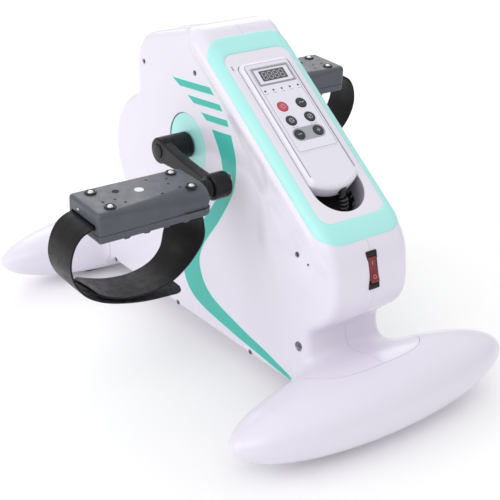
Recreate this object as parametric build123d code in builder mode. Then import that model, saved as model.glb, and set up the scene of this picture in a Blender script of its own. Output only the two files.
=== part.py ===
from build123d import *
from math import atan, cos, degrees, radians, sin, tan
import os

os.makedirs("parts", exist_ok=True)

# A motor-assisted pedal exerciser. X runs across it (user's left is -X), +Y runs from the user's
# side to the rear foot, and +Z is up. The origin is on the floor under the middle of the machine.
# All sizes are millimetres.

# --- Driving dimensions: feet ---
FOOT_HALF_SPAN = 190.0
FOOT_Z = 43.0
FOOT_HALF_HEIGHT = 42.0
FRONT_FOOT_Y, FRONT_FOOT_HALF_DEPTH = -260.0, 55.7
REAR_FOOT_Y, REAR_FOOT_HALF_DEPTH = 268.2, 47.5
FOOT_WALL = 3.0
FOOT_FLAT_Z = 4.0
FOOT_SPLIT_Z = 12.0
PAD_LENGTH, PAD_WIDTH, PAD_X = 62.0, 18.0, 41.0

# --- Driving dimensions: body shells ---
WALL = 3.0
PLATE_HALF = 52.0
COLUMN_HALF = 62.0
COLUMN_CORNER = 38.0
RIM_RADIUS = 9.0
BODY_FLOOR_Z = 30.4
NECK_Y, CREASE_Z = -207.0, 104.0
FRONT_Y, CHIN_Z = -249.0, 139.0
CONSOLE_SLOPE = 36.8
BROW_RADIUS = 80.0
APEX_Y, APEX_Z = 3.0, 398.2
SPINE_Y, SPINE_TOP_Z = 133.3, 364.0
BULGE_Y, BULGE_Z, BULGE_RADIUS = 110.5, 210.9, 82.6
WAIST_TOP, WAIST_LOW = (151.8, 139.4), (160.0, 101.0)
REAR_NECK_Y = 240.0

# --- Driving dimensions: console and handset, measured down the slope from the console's datum ---
CONSOLE_Y, CONSOLE_Z = -31.3, 372.6
RING_HALF, RING_TOP, RING_LOW, RING_CORNER = 56.0, -22.0, 256.0, 24.0
TRAY_HALF, TRAY_TOP, TRAY_LOW, TRAY_CORNER = 44.6, 2.0, 231.0, 14.0
RING_PROUD, RING_SUNK = 0.8, 2.0
HANDSET_HALF, HANDSET_TOP, HANDSET_SIDE_END, HANDSET_END = 32.7, 20.0, 184.0, 196.0
HANDSET_BACK, HANDSET_SPLIT, HANDSET_FACE = -10.0, -0.5, 8.5
DOCK_GAP = 0.5
DOCK_WALL = 2.0
RECESS_END, RECESS_FLOOR = 222.5, -40.0
OVERLAY_HALF, OVERLAY_TOP, OVERLAY_LOW, OVERLAY_THICK = 27.5, 29.3, 146.1, 0.4
KEY_ROWS, KEY_X, KEY_RADIUS, KEY_TRAVEL = (85.6, 105.0, 123.8), 12.7, 6.5, 0.5
KEY_TOP, KEY_BASE = 9.9, 3.0
LED_ROW, LED_PITCH = 62.4, 11.2

# --- Driving dimensions: crank and pedals ---
CRANK_Y, CRANK_Z = 22.0, 256.5
CRANK_RADIUS = 103.0
CRANK_DROP = 6.5
AXLE_RADIUS = 7.5
DISC_RADIUS, DISC_IN, DISC_OUT, DISC_GAP = 37.0, 47.5, 51.6, 0.7
HUB_RADIUS, HUB_IN, ARM_IN, ARM_OUT = 15.5, 53.5, 80.0, 93.0
EYE_RADIUS, EYE_IN = 15.0, 68.0
SPINDLE_RADIUS, COLLAR_RADIUS, COLLAR_OUT, SPINDLE_OUT = 6.0, 11.0, 107.0, 226.0
PEDAL_IN, PEDAL_OUT, PEDAL_WIDTH, PEDAL_HEIGHT = 111.0, 244.0, 64.0, 29.5
PEDAL_TILT = 3.0
PEDAL_WALL = 3.0
BUSH_RADIUS, BUSH_BORE, BUSH_LENGTH = 9.0, 6.05, 14.0
STRAP_WIDTH, STRAP_THICK = 44.0, 2.6

# --- Driving dimensions: frame and drive ---
TUBE_HALF, TUBE_LOW, TUBE_HIGH = 25.0, 42.0, 64.0
CROSS_RADIUS, CROSS_HALF = 10.0, 118.0
BEARING_RADIUS, BEARING_IN, BEARING_OUT = 16.0, 25.0, 35.0
PULLEY_RADIUS, PULLEY_HALF = 60.0, 7.0
MOTOR_Y, MOTOR_Z, MOTOR_RADIUS = -90.0, 120.0, 29.0
MOTOR_PULLEY_RADIUS = 12.0
BELT_GAP, BELT_THICK, BELT_HALF = 0.3, 2.0, 5.0
SHAFT_RADIUS = 5.0

# --- Driving dimensions: power switch and inlet ---
SWITCH_Y, SWITCH_Z, SWITCH_LEAN = -246.0, 185.6, 12.0
BEZEL_HALF_WIDTH, BEZEL_HALF_HEIGHT = 7.2, 20.8
ROCKER_HALF_WIDTH, ROCKER_HALF_HEIGHT = 5.4, 14.5
INLET_HALF_WIDTH, INLET_HALF_HEIGHT = 13.0, 9.0

# Planes of the sloping console, the switch and the mains inlet. On the console, x runs across
# and -y runs down the slope.
CONSOLE = Plane(
    origin=(0, CONSOLE_Y, CONSOLE_Z),
    x_dir=(1, 0, 0),
    z_dir=(0, -sin(radians(CONSOLE_SLOPE)), cos(radians(CONSOLE_SLOPE))),
)
SWITCH = Plane(
    origin=(0, SWITCH_Y, SWITCH_Z),
    x_dir=(1, 0, 0),
    z_dir=(0, -cos(radians(SWITCH_LEAN)), sin(radians(SWITCH_LEAN))),
)
# Seen from the side of the switch: x runs up it and y out of it.
SWITCH_SIDE = Plane(origin=SWITCH.origin, x_dir=SWITCH.y_dir, z_dir=(1, 0, 0))
WAIST_LEAN = degrees(atan((WAIST_LOW[0] - WAIST_TOP[0]) / (WAIST_TOP[1] - WAIST_LOW[1])))
INLET = Plane(
    origin=(0, (WAIST_TOP[0] + WAIST_LOW[0]) / 2, (WAIST_TOP[1] + WAIST_LOW[1]) / 2),
    x_dir=(-1, 0, 0),
    z_dir=(0, cos(radians(WAIST_LEAN)), sin(radians(WAIST_LEAN))),
)
LEFT, RIGHT = -1, 1


def save(piece, name):
    """Label a finished piece and write it to its own file."""
    piece.label = name
    export_step(piece, f"parts/{name}.step")


def console_level(height):
    """The console's plane, raised or lowered along its normal."""
    return CONSOLE.offset(height)


def crank_end(side):
    """(y, z) of the pedal spindle on one side, half a turn apart from the other side's."""
    reach, drop = cos(radians(CRANK_DROP)), sin(radians(CRANK_DROP))
    return CRANK_Y + side * CRANK_RADIUS * reach, CRANK_Z + side * CRANK_RADIUS * drop


# --- Body outlines ---


def side_outline(inset):
    """The body seen from the side, (y, z), pulled in by inset on every edge."""
    brow_z = CONSOLE_Z + (FRONT_Y - CONSOLE_Y) * tan(radians(CONSOLE_SLOPE))
    bulge_top = BULGE_Z + (BULGE_RADIUS**2 - (SPINE_Y - BULGE_Y) ** 2) ** 0.5
    rear_neck = [WAIST_LOW, (215.0, 80.0), (REAR_NECK_Y, 74.0), (REAR_NECK_Y, BODY_FLOOR_Z)]
    front = [(NECK_Y, BODY_FLOOR_Z), (NECK_Y, CREASE_Z), (FRONT_Y, CHIN_Z), (FRONT_Y, brow_z)]
    top = [(APEX_Y, APEX_Z), (SPINE_Y, SPINE_TOP_Z), (SPINE_Y, bulge_top)]
    rounds = [
        (front[1], 12.0),
        (front[2], 20.0),
        (front[3], BROW_RADIUS),
        (top[0], 30.0),
        (top[1], 46.0),
        (top[2], 12.0),
        (WAIST_TOP, 10.0),
        (WAIST_LOW, 12.0),
        ((215.0, 80.0), 30.0),
    ]
    with BuildSketch() as outline:
        with BuildLine():
            Polyline(*front, *top)
            ThreePointArc(top[2], (BULGE_Y + BULGE_RADIUS, BULGE_Z), WAIST_TOP)
            Polyline(WAIST_TOP, *rear_neck, front[0])
        make_face()
        for (y, z), radius in rounds:
            fillet(outline.vertices().sort_by_distance((y, z, 0))[0], radius)
        if inset:
            offset(amount=-inset)
    return outline.sketch_local


def body_block(inset):
    """The whole body as one solid: a flat plate body with a wider column under the console."""
    with BuildPart() as plate:
        with BuildSketch(Plane.YZ):
            add(side_outline(inset))
        extrude(amount=PLATE_HALF - inset, both=True)
        fillet(plate.faces().filter_by(Axis.X).edges(), RIM_RADIUS - inset)
    with BuildPart() as column:
        with BuildSketch(Plane.YZ.offset(-2 * COLUMN_HALF)):
            add(side_outline(inset))
        extrude(amount=4 * COLUMN_HALF)
        with BuildSketch(Plane.XY.offset(CREASE_Z - 2 + inset)) as plan:
            with BuildLine():
                Polyline(
                    (inset - PLATE_HALF, -100),
                    (inset - COLUMN_HALF, -148),
                    (inset - COLUMN_HALF, FRONT_Y + inset),
                    (COLUMN_HALF - inset, FRONT_Y + inset),
                    (COLUMN_HALF - inset, -148),
                    (PLATE_HALF - inset, -100),
                    close=True,
                )
            make_face()
            fillet(plan.vertices().group_by(Axis.Y)[0], COLUMN_CORNER - inset)
            fillet(plan.vertices().group_by(Axis.Y)[-2], COLUMN_CORNER + inset)
        extrude(amount=320, mode=Mode.INTERSECT)
    with BuildPart() as whole:
        add(plate.part)
        add(column.part)
    return whole.part


def foot_blank(centre_y, half_depth, inset):
    """The long egg shape of a foot, pulled in by inset."""
    with BuildPart() as blank:
        Sphere(1)
        scale(by=(FOOT_HALF_SPAN - inset, half_depth - inset, FOOT_HALF_HEIGHT - inset))
    return blank.part.moved(Location((0, centre_y, FOOT_Z)))


def neck_flare(near_y, far_y, spread_near, half_low):
    """A skirt that widens from the body's neck down onto a foot."""
    with BuildPart() as flare:
        with BuildSketch(Plane.XY.offset(100)):
            with Locations((0, (near_y + far_y) / 2)):
                RectangleRounded(2 * PLATE_HALF - 2, abs(far_y - near_y), 18)
        with BuildSketch(Plane.XY.offset(66)):
            with Locations((0, (near_y + spread_near + far_y) / 2)):
                RectangleRounded(2 * half_low, abs(far_y - near_y - spread_near), 24)
        loft()
    return flare.part


def console_prism(half, top, low, corner, high, deep):
    """A rounded block that stands square to the console plane."""
    with BuildPart() as prism:
        with BuildSketch(console_level(deep)):
            with Locations((0, -(top + low) / 2)):
                RectangleRounded(2 * half, low - top, corner)
        extrude(amount=high - deep)
    return prism.part


def surface_band(proud, sunk, half):
    """A layer that follows the body's front and top, from proud of it to sunk in it."""
    with BuildPart() as band:
        with BuildSketch(Plane.YZ):
            add(side_outline(-proud))
            add(side_outline(sunk), mode=Mode.SUBTRACT)
        extrude(amount=half, both=True)
    return band.part


front_foot_solid = foot_blank(FRONT_FOOT_Y, FRONT_FOOT_HALF_DEPTH, 0)
rear_foot_solid = foot_blank(REAR_FOOT_Y, REAR_FOOT_HALF_DEPTH, 0)

# --- Console ring: the mint frame round the handset tray ---
with BuildPart() as console_ring:
    add(surface_band(RING_PROUD, RING_SUNK, RING_HALF))
    add(console_prism(RING_HALF, RING_TOP, RING_LOW, RING_CORNER, 20, -60), mode=Mode.INTERSECT)
    add(console_prism(TRAY_HALF, TRAY_TOP, TRAY_LOW, TRAY_CORNER, 40, -90), mode=Mode.SUBTRACT)
save(console_ring.part, "console_ring")


def handset_outline(gap):
    """The handset seen square on: straight sides and a rounded lower end."""
    with BuildSketch() as outline:
        with BuildLine():
            Polyline(
                (-HANDSET_HALF, -HANDSET_SIDE_END),
                (-HANDSET_HALF, -HANDSET_TOP),
                (HANDSET_HALF, -HANDSET_TOP),
                (HANDSET_HALF, -HANDSET_SIDE_END),
            )
            ThreePointArc(
                (HANDSET_HALF, -HANDSET_SIDE_END),
                (0, -HANDSET_END),
                (-HANDSET_HALF, -HANDSET_SIDE_END),
            )
        make_face()
        fillet(outline.vertices().group_by(Axis.Y)[-1], 6)
        fillet(outline.vertices().group_by(Axis.Y)[0], 8)
        if gap:
            offset(amount=gap)
    return outline.sketch_local


def recess_outline(grow):
    """The finger recess past the handset's lower end, which the cord also drops into."""
    half = HANDSET_HALF + DOCK_GAP
    with BuildSketch() as outline:
        with BuildLine():
            Polyline((-half, -190), (-half, -176), (half, -176), (half, -190))
            ThreePointArc((half, -190), (0, -RECESS_END), (-half, -190))
        make_face()
        if grow:
            offset(amount=grow)
    return outline.sketch_local


# --- Console cradle: the white tray that the handset docks in ---
DOCK_FLOOR = HANDSET_BACK - 0.4
with BuildPart() as console_cradle:
    add(surface_band(0, 2.6, RING_HALF))
    add(
        console_prism(TRAY_HALF - 0.1, TRAY_TOP + 0.1, TRAY_LOW - 0.1, TRAY_CORNER, 20, -60),
        mode=Mode.INTERSECT,
    )
    with BuildSketch(console_level(DOCK_FLOOR - DOCK_WALL)):
        add(handset_outline(DOCK_GAP + DOCK_WALL))
    extrude(amount=DOCK_WALL - DOCK_FLOOR - 2)
    with BuildSketch(console_level(RECESS_FLOOR - DOCK_WALL)):
        add(recess_outline(DOCK_WALL))
    extrude(amount=DOCK_WALL - RECESS_FLOOR - 3)
    with BuildSketch(console_level(DOCK_FLOOR)):
        add(handset_outline(DOCK_GAP))
    extrude(amount=30, mode=Mode.SUBTRACT)
    with BuildSketch(console_level(RECESS_FLOOR)):
        add(recess_outline(0))
    extrude(amount=60, mode=Mode.SUBTRACT)
save(console_cradle.part, "console_cradle")

# --- Body shells ---
# Side screws: (y, z, depth of the boss behind the wall, recess radius).
SIDE_SCREWS = [
    (114.7, 334.0, PLATE_HALF, 3.4),
    (5.2, 345.7, PLATE_HALF, 3.4),
    (-62.7, 243.5, PLATE_HALF, 3.4),
    (205.2, 36.4, PLATE_HALF, 3.4),
    (50.5, 36.4, PLATE_HALF, 3.4),
    (-103.3, 36.4, PLATE_HALF, 3.4),
    (-188.0, 199.0, 18.0, 3.4),
    (-189.0, 86.0, PLATE_HALF, 5.0),
]
HEAD_SINK, HEAD_THICK, SHANK_RADIUS, BOSS_WALL = 1.0, 2.4, 1.8, 1.8


def screw_face(y, z):
    """How far out the shell's side lies at a screw."""
    return COLUMN_HALF if y < -150 and z > CREASE_Z else PLATE_HALF


def shell_bosses():
    """Screw pillars across the body, two halves that meet in the middle."""
    with BuildPart() as pillars:
        for y, z, depth, recess in SIDE_SCREWS:
            face = screw_face(y, z)
            with BuildSketch(Plane.YZ.offset(-face + 1)):
                with Locations((y, z)):
                    Circle(recess + BOSS_WALL)
            extrude(amount=(2 * face - 2) if depth == PLATE_HALF else depth)
    return pillars.part


with BuildPart() as body:
    add(body_block(0))
    add(neck_flare(NECK_Y + 1, -150, -32, 80))
    add(neck_flare(210, 160, 50, 72))
    add(body_block(WALL), mode=Mode.SUBTRACT)
    add(shell_bosses())
    add(front_foot_solid, mode=Mode.SUBTRACT)
    add(rear_foot_solid, mode=Mode.SUBTRACT)
    add(console_ring.part, mode=Mode.SUBTRACT)
    add(
        console_prism(TRAY_HALF, TRAY_TOP, TRAY_LOW, TRAY_CORNER, 20, -24),
        mode=Mode.SUBTRACT,
    )
    # Way through to the feet for the frame tube.
    with Locations((0, NECK_Y, (TUBE_LOW + TUBE_HIGH) / 2), (0, 225, (TUBE_LOW + TUBE_HIGH) / 2)):
        Box(2 * TUBE_HALF + 4, 60, TUBE_HIGH - TUBE_LOW + 4, mode=Mode.SUBTRACT)
    # Openings round the two crank discs.
    with BuildSketch(Plane.YZ.offset(-PLATE_HALF - 1)):
        with Locations((CRANK_Y, CRANK_Z)):
            Circle(DISC_RADIUS + DISC_GAP)
    extrude(amount=2 * PLATE_HALF + 2, mode=Mode.SUBTRACT)
    # Seats for the power switch and the mains inlet.
    with BuildSketch(SWITCH.offset(-0.8)):
        Rectangle(2 * BEZEL_HALF_WIDTH, 2 * BEZEL_HALF_HEIGHT)
    extrude(amount=12, mode=Mode.SUBTRACT)
    with BuildSketch(SWITCH.offset(-14)):
        Rectangle(2 * BEZEL_HALF_WIDTH - 2, 2 * BEZEL_HALF_HEIGHT - 3)
    extrude(amount=20, mode=Mode.SUBTRACT)
    with BuildSketch(INLET.offset(-8)):
        Rectangle(2 * INLET_HALF_WIDTH - 5, 2 * INLET_HALF_HEIGHT - 5)
    extrude(amount=20, mode=Mode.SUBTRACT)
    # Screw holes with sunk heads, from the left.
    for y, z, depth, recess in SIDE_SCREWS:
        face = screw_face(y, z)
        with BuildSketch(Plane.YZ.offset(-face + HEAD_SINK + HEAD_THICK)):
            with Locations((y, z)):
                Circle(recess)
        extrude(amount=-16, mode=Mode.SUBTRACT)
        with BuildSketch(Plane.YZ.offset(-face)):
            with Locations((y, z)):
                Circle(SHANK_RADIUS)
        extrude(amount=face + 14 if depth == PLATE_HALF else depth - 2, mode=Mode.SUBTRACT)

for side, name in ((LEFT, "left_shell"), (RIGHT, "right_shell")):
    with BuildPart() as half_shell:
        add(body.part)
        split(bisect_by=Plane.YZ, keep=Keep.TOP if side == RIGHT else Keep.BOTTOM)
    save(half_shell.part, name)

with BuildPart() as shell_screws:
    for y, z, depth, _ in SIDE_SCREWS:
        face = screw_face(y, z)
        with BuildSketch(Plane.YZ.offset(-face + HEAD_SINK)):
            with Locations((y, z)):
                Circle(3.0)
        extrude(amount=HEAD_THICK)
        with BuildSketch(Plane.YZ.offset(-face + HEAD_SINK)):
            with Locations((y, z)):
                Circle(SHANK_RADIUS)
        extrude(amount=face + 10 if depth == PLATE_HALF else depth - 6)
        with BuildSketch(Plane.YZ.offset(-face + HEAD_SINK)):
            with Locations((y, z)):
                Rectangle(3.4, 0.8)
                Rectangle(0.8, 3.4)
        extrude(amount=1.2, mode=Mode.SUBTRACT)
save(shell_screws.part, "shell_screws")

# --- Side graphics: three bars and a long swoosh on each side ---
DECAL_THICK = 0.3
BARS = [
    [(54.5, 331.5), (-25.7, 337.6), (-35.5, 328.6), (35.4, 322.9)],
    [(23.9, 317.8), (-44.3, 322.6), (-51.2, 314.2), (7.2, 309.4)],
    [(-4.4, 304.1), (-58.0, 308.3), (-62.2, 299.3), (-17.7, 295.7)],
]
SWOOSH_FRONT = [
    (-66.4, 293.2),
    (-76.0, 264.0),
    (-71.0, 227.0),
    (-45.0, 184.0),
    (-10.0, 138.0),
    (-1.5, 108.0),
]
SWOOSH_FRONT_LOW = [(-1.5, 108.0), (-20.0, 76.0), (-83.0, 63.0), (-168.0, 44.0)]
SWOOSH_REAR_LOW = [(-168.0, 39.0), (-63.0, 46.0), (9.0, 58.0), (36.0, 88.0)]
SWOOSH_REAR = [
    (36.0, 88.0),
    (26.0, 130.0),
    (-20.0, 186.0),
    (-46.0, 226.0),
    (-46.0, 258.0),
    (-27.2, 289.9),
]


def side_decal(side):
    """The printed graphics of one side, as thin plates on the flat part of the shell."""
    face = PLATE_HALF if side == RIGHT else -PLATE_HALF - DECAL_THICK
    with BuildPart() as decal:
        with BuildSketch(Plane.YZ.offset(face)):
            for bar in BARS:
                with BuildLine():
                    Polyline(*bar, close=True)
                make_face()
            with BuildLine():
                Spline(*SWOOSH_FRONT)
                Spline(*SWOOSH_FRONT_LOW)
                Line(SWOOSH_FRONT_LOW[-1], SWOOSH_REAR_LOW[0])
                Spline(*SWOOSH_REAR_LOW)
                Spline(*SWOOSH_REAR)
                Line(SWOOSH_REAR[-1], SWOOSH_FRONT[0])
            make_face()
            for y, z, _, recess in SIDE_SCREWS:
                with Locations((y, z)):
                    Circle(recess + 0.3, mode=Mode.SUBTRACT)
        extrude(amount=DECAL_THICK)
    return decal.part


save(side_decal(LEFT), "left_decal")
save(side_decal(RIGHT), "right_decal")

# --- Feet ---
for foot, centre_y, half_depth, solid, toward in (
    ("front_foot", FRONT_FOOT_Y, FRONT_FOOT_HALF_DEPTH, front_foot_solid, 1),
    ("rear_foot", REAR_FOOT_Y, REAR_FOOT_HALF_DEPTH, rear_foot_solid, -1),
):
    with BuildPart() as cover:
        add(solid)
        add(foot_blank(centre_y, half_depth, FOOT_WALL), mode=Mode.SUBTRACT)
        with BuildSketch(Plane.XY.offset(FOOT_SPLIT_Z)):
            with Locations((0, centre_y)):
                Rectangle(3 * FOOT_HALF_SPAN, 4 * half_depth)
        extrude(amount=-FOOT_Z, mode=Mode.SUBTRACT)
        with Locations((0, centre_y + toward * half_depth, (TUBE_LOW + TUBE_HIGH) / 2)):
            Box(2 * TUBE_HALF + 1, 50, TUBE_HIGH - TUBE_LOW + 1, mode=Mode.SUBTRACT)
    save(cover.part, f"{foot}_cover")
    with BuildPart() as base:
        add(solid)
        with BuildSketch(Plane.XY.offset(FOOT_SPLIT_Z)):
            with Locations((0, centre_y)):
                Rectangle(3 * FOOT_HALF_SPAN, 4 * half_depth)
        extrude(amount=2 * FOOT_HALF_HEIGHT, mode=Mode.SUBTRACT)
        with BuildSketch(Plane.XY.offset(FOOT_FLAT_Z)):
            with Locations((0, centre_y)):
                Rectangle(3 * FOOT_HALF_SPAN, 4 * half_depth)
        extrude(amount=-FOOT_Z, mode=Mode.SUBTRACT)
        with BuildSketch(Plane.XY.offset(FOOT_FLAT_Z + FOOT_WALL)):
            with Locations((0, centre_y)):
                Ellipse(FOOT_HALF_SPAN * 0.55, half_depth * 0.5)
        extrude(amount=FOOT_SPLIT_Z, mode=Mode.SUBTRACT)
    save(base.part, f"{foot}_base")

with BuildPart() as foot_pads:
    with BuildSketch(Plane.XY):
        with Locations(*[(x, y) for x in (-PAD_X, PAD_X) for y in (FRONT_FOOT_Y, REAR_FOOT_Y)]):
            SlotOverall(PAD_LENGTH, PAD_WIDTH)
    extrude(amount=FOOT_FLAT_Z)
    chamfer(foot_pads.faces().sort_by(Axis.Z)[0:4].edges(), 0.8)
save(foot_pads.part, "foot_pads")

# --- Steel frame ---
TUBE_FRONT, TUBE_REAR = FRONT_FOOT_Y - 18, REAR_FOOT_Y + 18
with BuildPart() as base_frame:
    with BuildSketch(Plane.XZ.offset(-TUBE_FRONT)):
        with Locations((0, (TUBE_LOW + TUBE_HIGH) / 2)):
            RectangleRounded(2 * TUBE_HALF, TUBE_HIGH - TUBE_LOW, 3)
            RectangleRounded(2 * TUBE_HALF - 4, TUBE_HIGH - TUBE_LOW - 4, 1.5, mode=Mode.SUBTRACT)
    extrude(amount=TUBE_FRONT - TUBE_REAR)
    for side in (LEFT, RIGHT):
        with BuildSketch(Plane.YZ.offset(TUBE_HALF if side == RIGHT else -TUBE_HALF - 3)):
            with BuildLine():
                Polyline((-30, TUBE_LOW + 3), (75, TUBE_LOW + 3), (50, CRANK_Z), (-6, CRANK_Z), close=True)
            make_face()
            with Locations((CRANK_Y, CRANK_Z)):
                Circle(28)
                Circle(BEARING_RADIUS, mode=Mode.SUBTRACT)
            with Locations((CRANK_Y, 120), (CRANK_Y, 180)):
                Circle(14, mode=Mode.SUBTRACT)
        extrude(amount=3)
save(base_frame.part, "base_frame")

with BuildPart() as cross_tubes:
    with BuildSketch(Plane.YZ.offset(-CROSS_HALF)):
        with Locations(*[(y, TUBE_LOW - CROSS_RADIUS) for y in (FRONT_FOOT_Y, REAR_FOOT_Y)]):
            Circle(CROSS_RADIUS)
            Circle(CROSS_RADIUS - 1.5, mode=Mode.SUBTRACT)
    extrude(amount=2 * CROSS_HALF)
save(cross_tubes.part, "cross_tubes")

with BuildPart() as crank_bearings:
    for side in (LEFT, RIGHT):
        with BuildSketch(Plane.YZ.offset(side * BEARING_IN)):
            with Locations((CRANK_Y, CRANK_Z)):
                Circle(BEARING_RADIUS)
                Circle(AXLE_RADIUS + 0.05, mode=Mode.SUBTRACT)
        extrude(amount=side * (BEARING_OUT - BEARING_IN))
save(crank_bearings.part, "crank_bearings")

# --- Drive: axle, pulley, belt, motor ---
with BuildPart() as crank_axle:
    with BuildSketch(Plane.YZ.offset(-ARM_OUT + 4)):
        with Locations((CRANK_Y, CRANK_Z)):
            Circle(AXLE_RADIUS)
    extrude(amount=2 * (ARM_OUT - 4))
    chamfer(crank_axle.edges().filter_by(GeomType.CIRCLE), 0.8)
save(crank_axle.part, "crank_axle")

with BuildPart() as drive_pulley:
    with BuildSketch(Plane.YZ.offset(-PULLEY_HALF)):
        with Locations((CRANK_Y, CRANK_Z)):
            Circle(PULLEY_RADIUS)
            Circle(AXLE_RADIUS, mode=Mode.SUBTRACT)
            with PolarLocations(36, 5):
                Circle(12, mode=Mode.SUBTRACT)
    extrude(amount=2 * PULLEY_HALF)
    for end in (-PULLEY_HALF, PULLEY_HALF):
        with BuildSketch(Plane.YZ.offset(end)):
            with Locations((CRANK_Y, CRANK_Z)):
                Circle(14)
                Circle(AXLE_RADIUS, mode=Mode.SUBTRACT)
        extrude(amount=8 if end > 0 else -8)
save(drive_pulley.part, "drive_pulley")


def belt_loop(grow):
    """The belt's outline: both pulleys and the straight runs between them, grown outwards."""
    big, small = PULLEY_RADIUS + grow, MOTOR_PULLEY_RADIUS + grow
    with BuildSketch() as loop:
        with BuildLine():
            CenterArc((CRANK_Y, CRANK_Z), big, 0, 360)
            CenterArc((MOTOR_Y, MOTOR_Z), small, 0, 360)
        make_hull()
    return loop.sketch_local


with BuildPart() as drive_belt:
    with BuildSketch(Plane.YZ.offset(-BELT_HALF)):
        add(belt_loop(BELT_GAP + BELT_THICK))
        add(belt_loop(BELT_GAP), mode=Mode.SUBTRACT)
    extrude(amount=2 * BELT_HALF)
save(drive_belt.part, "drive_belt")

MOTOR_LEFT, BRACKET_LEFT, BRACKET_RIGHT = -46.0, -12.0, -9.0
with BuildPart() as drive_motor:
    with BuildSketch(Plane.YZ.offset(MOTOR_LEFT)):
        with Locations((MOTOR_Y, MOTOR_Z)):
            Circle(MOTOR_RADIUS)
    extrude(amount=BRACKET_LEFT - MOTOR_LEFT)
    fillet(drive_motor.edges().group_by(Axis.X)[0], 3)
    with BuildSketch(Plane.YZ.offset(BRACKET_LEFT)):
        with Locations((MOTOR_Y, MOTOR_Z)):
            Circle(SHAFT_RADIUS + 0.05)
    extrude(amount=-24, mode=Mode.SUBTRACT)
save(drive_motor.part, "drive_motor")

with BuildPart() as motor_bracket:
    with BuildSketch(Plane.YZ.offset(BRACKET_LEFT)):
        with BuildLine():
            Polyline(
                (MOTOR_Y - 34, TUBE_HIGH),
                (MOTOR_Y + 34, TUBE_HIGH),
                (MOTOR_Y + 26, MOTOR_Z + 22),
                (MOTOR_Y - 26, MOTOR_Z + 22),
                close=True,
            )
        make_face()
        with Locations((MOTOR_Y, MOTOR_Z)):
            Circle(SHAFT_RADIUS + 2, mode=Mode.SUBTRACT)
    extrude(amount=BRACKET_RIGHT - BRACKET_LEFT)
    with Locations((BRACKET_LEFT + 14, MOTOR_Y, TUBE_HIGH + 1.5)):
        Box(28, 68, 3)
save(motor_bracket.part, "motor_bracket")

with BuildPart() as motor_pulley:
    with BuildSketch(Plane.YZ.offset(-32)):
        with Locations((MOTOR_Y, MOTOR_Z)):
            Circle(SHAFT_RADIUS)
    extrude(amount=40)
    with BuildSketch(Plane.YZ.offset(-6)):
        with Locations((MOTOR_Y, MOTOR_Z)):
            Circle(MOTOR_PULLEY_RADIUS)
    extrude(amount=12)
save(motor_pulley.part, "motor_pulley")

# --- Electronics in the body ---
with BuildPart() as control_board:
    with Locations((0, 152, TUBE_HIGH + 4.8)):
        Box(46, 76, 1.6)
    with Locations(*[(x, y, TUBE_HIGH + 2) for x in (-19, 19) for y in (118, 186)]):
        Cylinder(2.5, 4)
    with Locations((-10, 135, TUBE_HIGH + 12)):
        Box(18, 22, 13)
    with Locations((12, 132, TUBE_HIGH + 13), (12, 150, TUBE_HIGH + 13)):
        Cylinder(6, 15)
    with Locations((0, 175, TUBE_HIGH + 9)):
        Box(30, 12, 7)
save(control_board.part, "control_board")

with BuildPart() as power_supply:
    with Locations((0, 50, TUBE_HIGH + 16)):
        Box(40, 84, 32)
    fillet(power_supply.edges().filter_by(Axis.Z), 2)
save(power_supply.part, "power_supply")

with BuildPart() as power_inlet:
    with BuildSketch(INLET):
        RectangleRounded(2 * INLET_HALF_WIDTH, 2 * INLET_HALF_HEIGHT, 3)
    extrude(amount=2)
    with BuildSketch(INLET.offset(-16)):
        Rectangle(2 * INLET_HALF_WIDTH - 5, 2 * INLET_HALF_HEIGHT - 5)
    extrude(amount=16)
    with BuildSketch(INLET.offset(-10)):
        with Locations((-4, 0), (4, 0)):
            Circle(4.2)
        Rectangle(8, 6)
    extrude(amount=13, mode=Mode.SUBTRACT)
    with BuildSketch(INLET.offset(-11)):
        with Locations((-4.3, 0), (4.3, 0)):
            Circle(1.2)
    extrude(amount=10)
save(power_inlet.part, "power_inlet")

# --- Power switch ---
with BuildPart() as switch_bezel:
    with BuildSketch(SWITCH.offset(-0.8)):
        RectangleRounded(2 * BEZEL_HALF_WIDTH, 2 * BEZEL_HALF_HEIGHT, 1)
    extrude(amount=2.6)
    with BuildSketch(SWITCH.offset(-14)):
        Rectangle(2 * BEZEL_HALF_WIDTH - 2, 2 * BEZEL_HALF_HEIGHT - 3)
    extrude(amount=13.2)
    with BuildSketch(SWITCH.offset(-8)):
        Rectangle(2 * ROCKER_HALF_WIDTH + 0.7, 2 * ROCKER_HALF_HEIGHT + 0.9)
    extrude(amount=14, mode=Mode.SUBTRACT)
save(switch_bezel.part, "switch_bezel")

with BuildPart() as switch_rocker:
    with BuildSketch(SWITCH_SIDE.offset(-ROCKER_HALF_WIDTH)):
        with BuildLine():
            Polyline(
                (ROCKER_HALF_HEIGHT - 1.6, -3.2),
                (ROCKER_HALF_HEIGHT, 1.4),
                (0, 2.2),
                (-ROCKER_HALF_HEIGHT + 1.2, 5.0),
                (-ROCKER_HALF_HEIGHT + 1.8, -3.2),
                close=True,
            )
        make_face()
    extrude(amount=2 * ROCKER_HALF_WIDTH)
save(switch_rocker.part, "switch_rocker")

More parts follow.
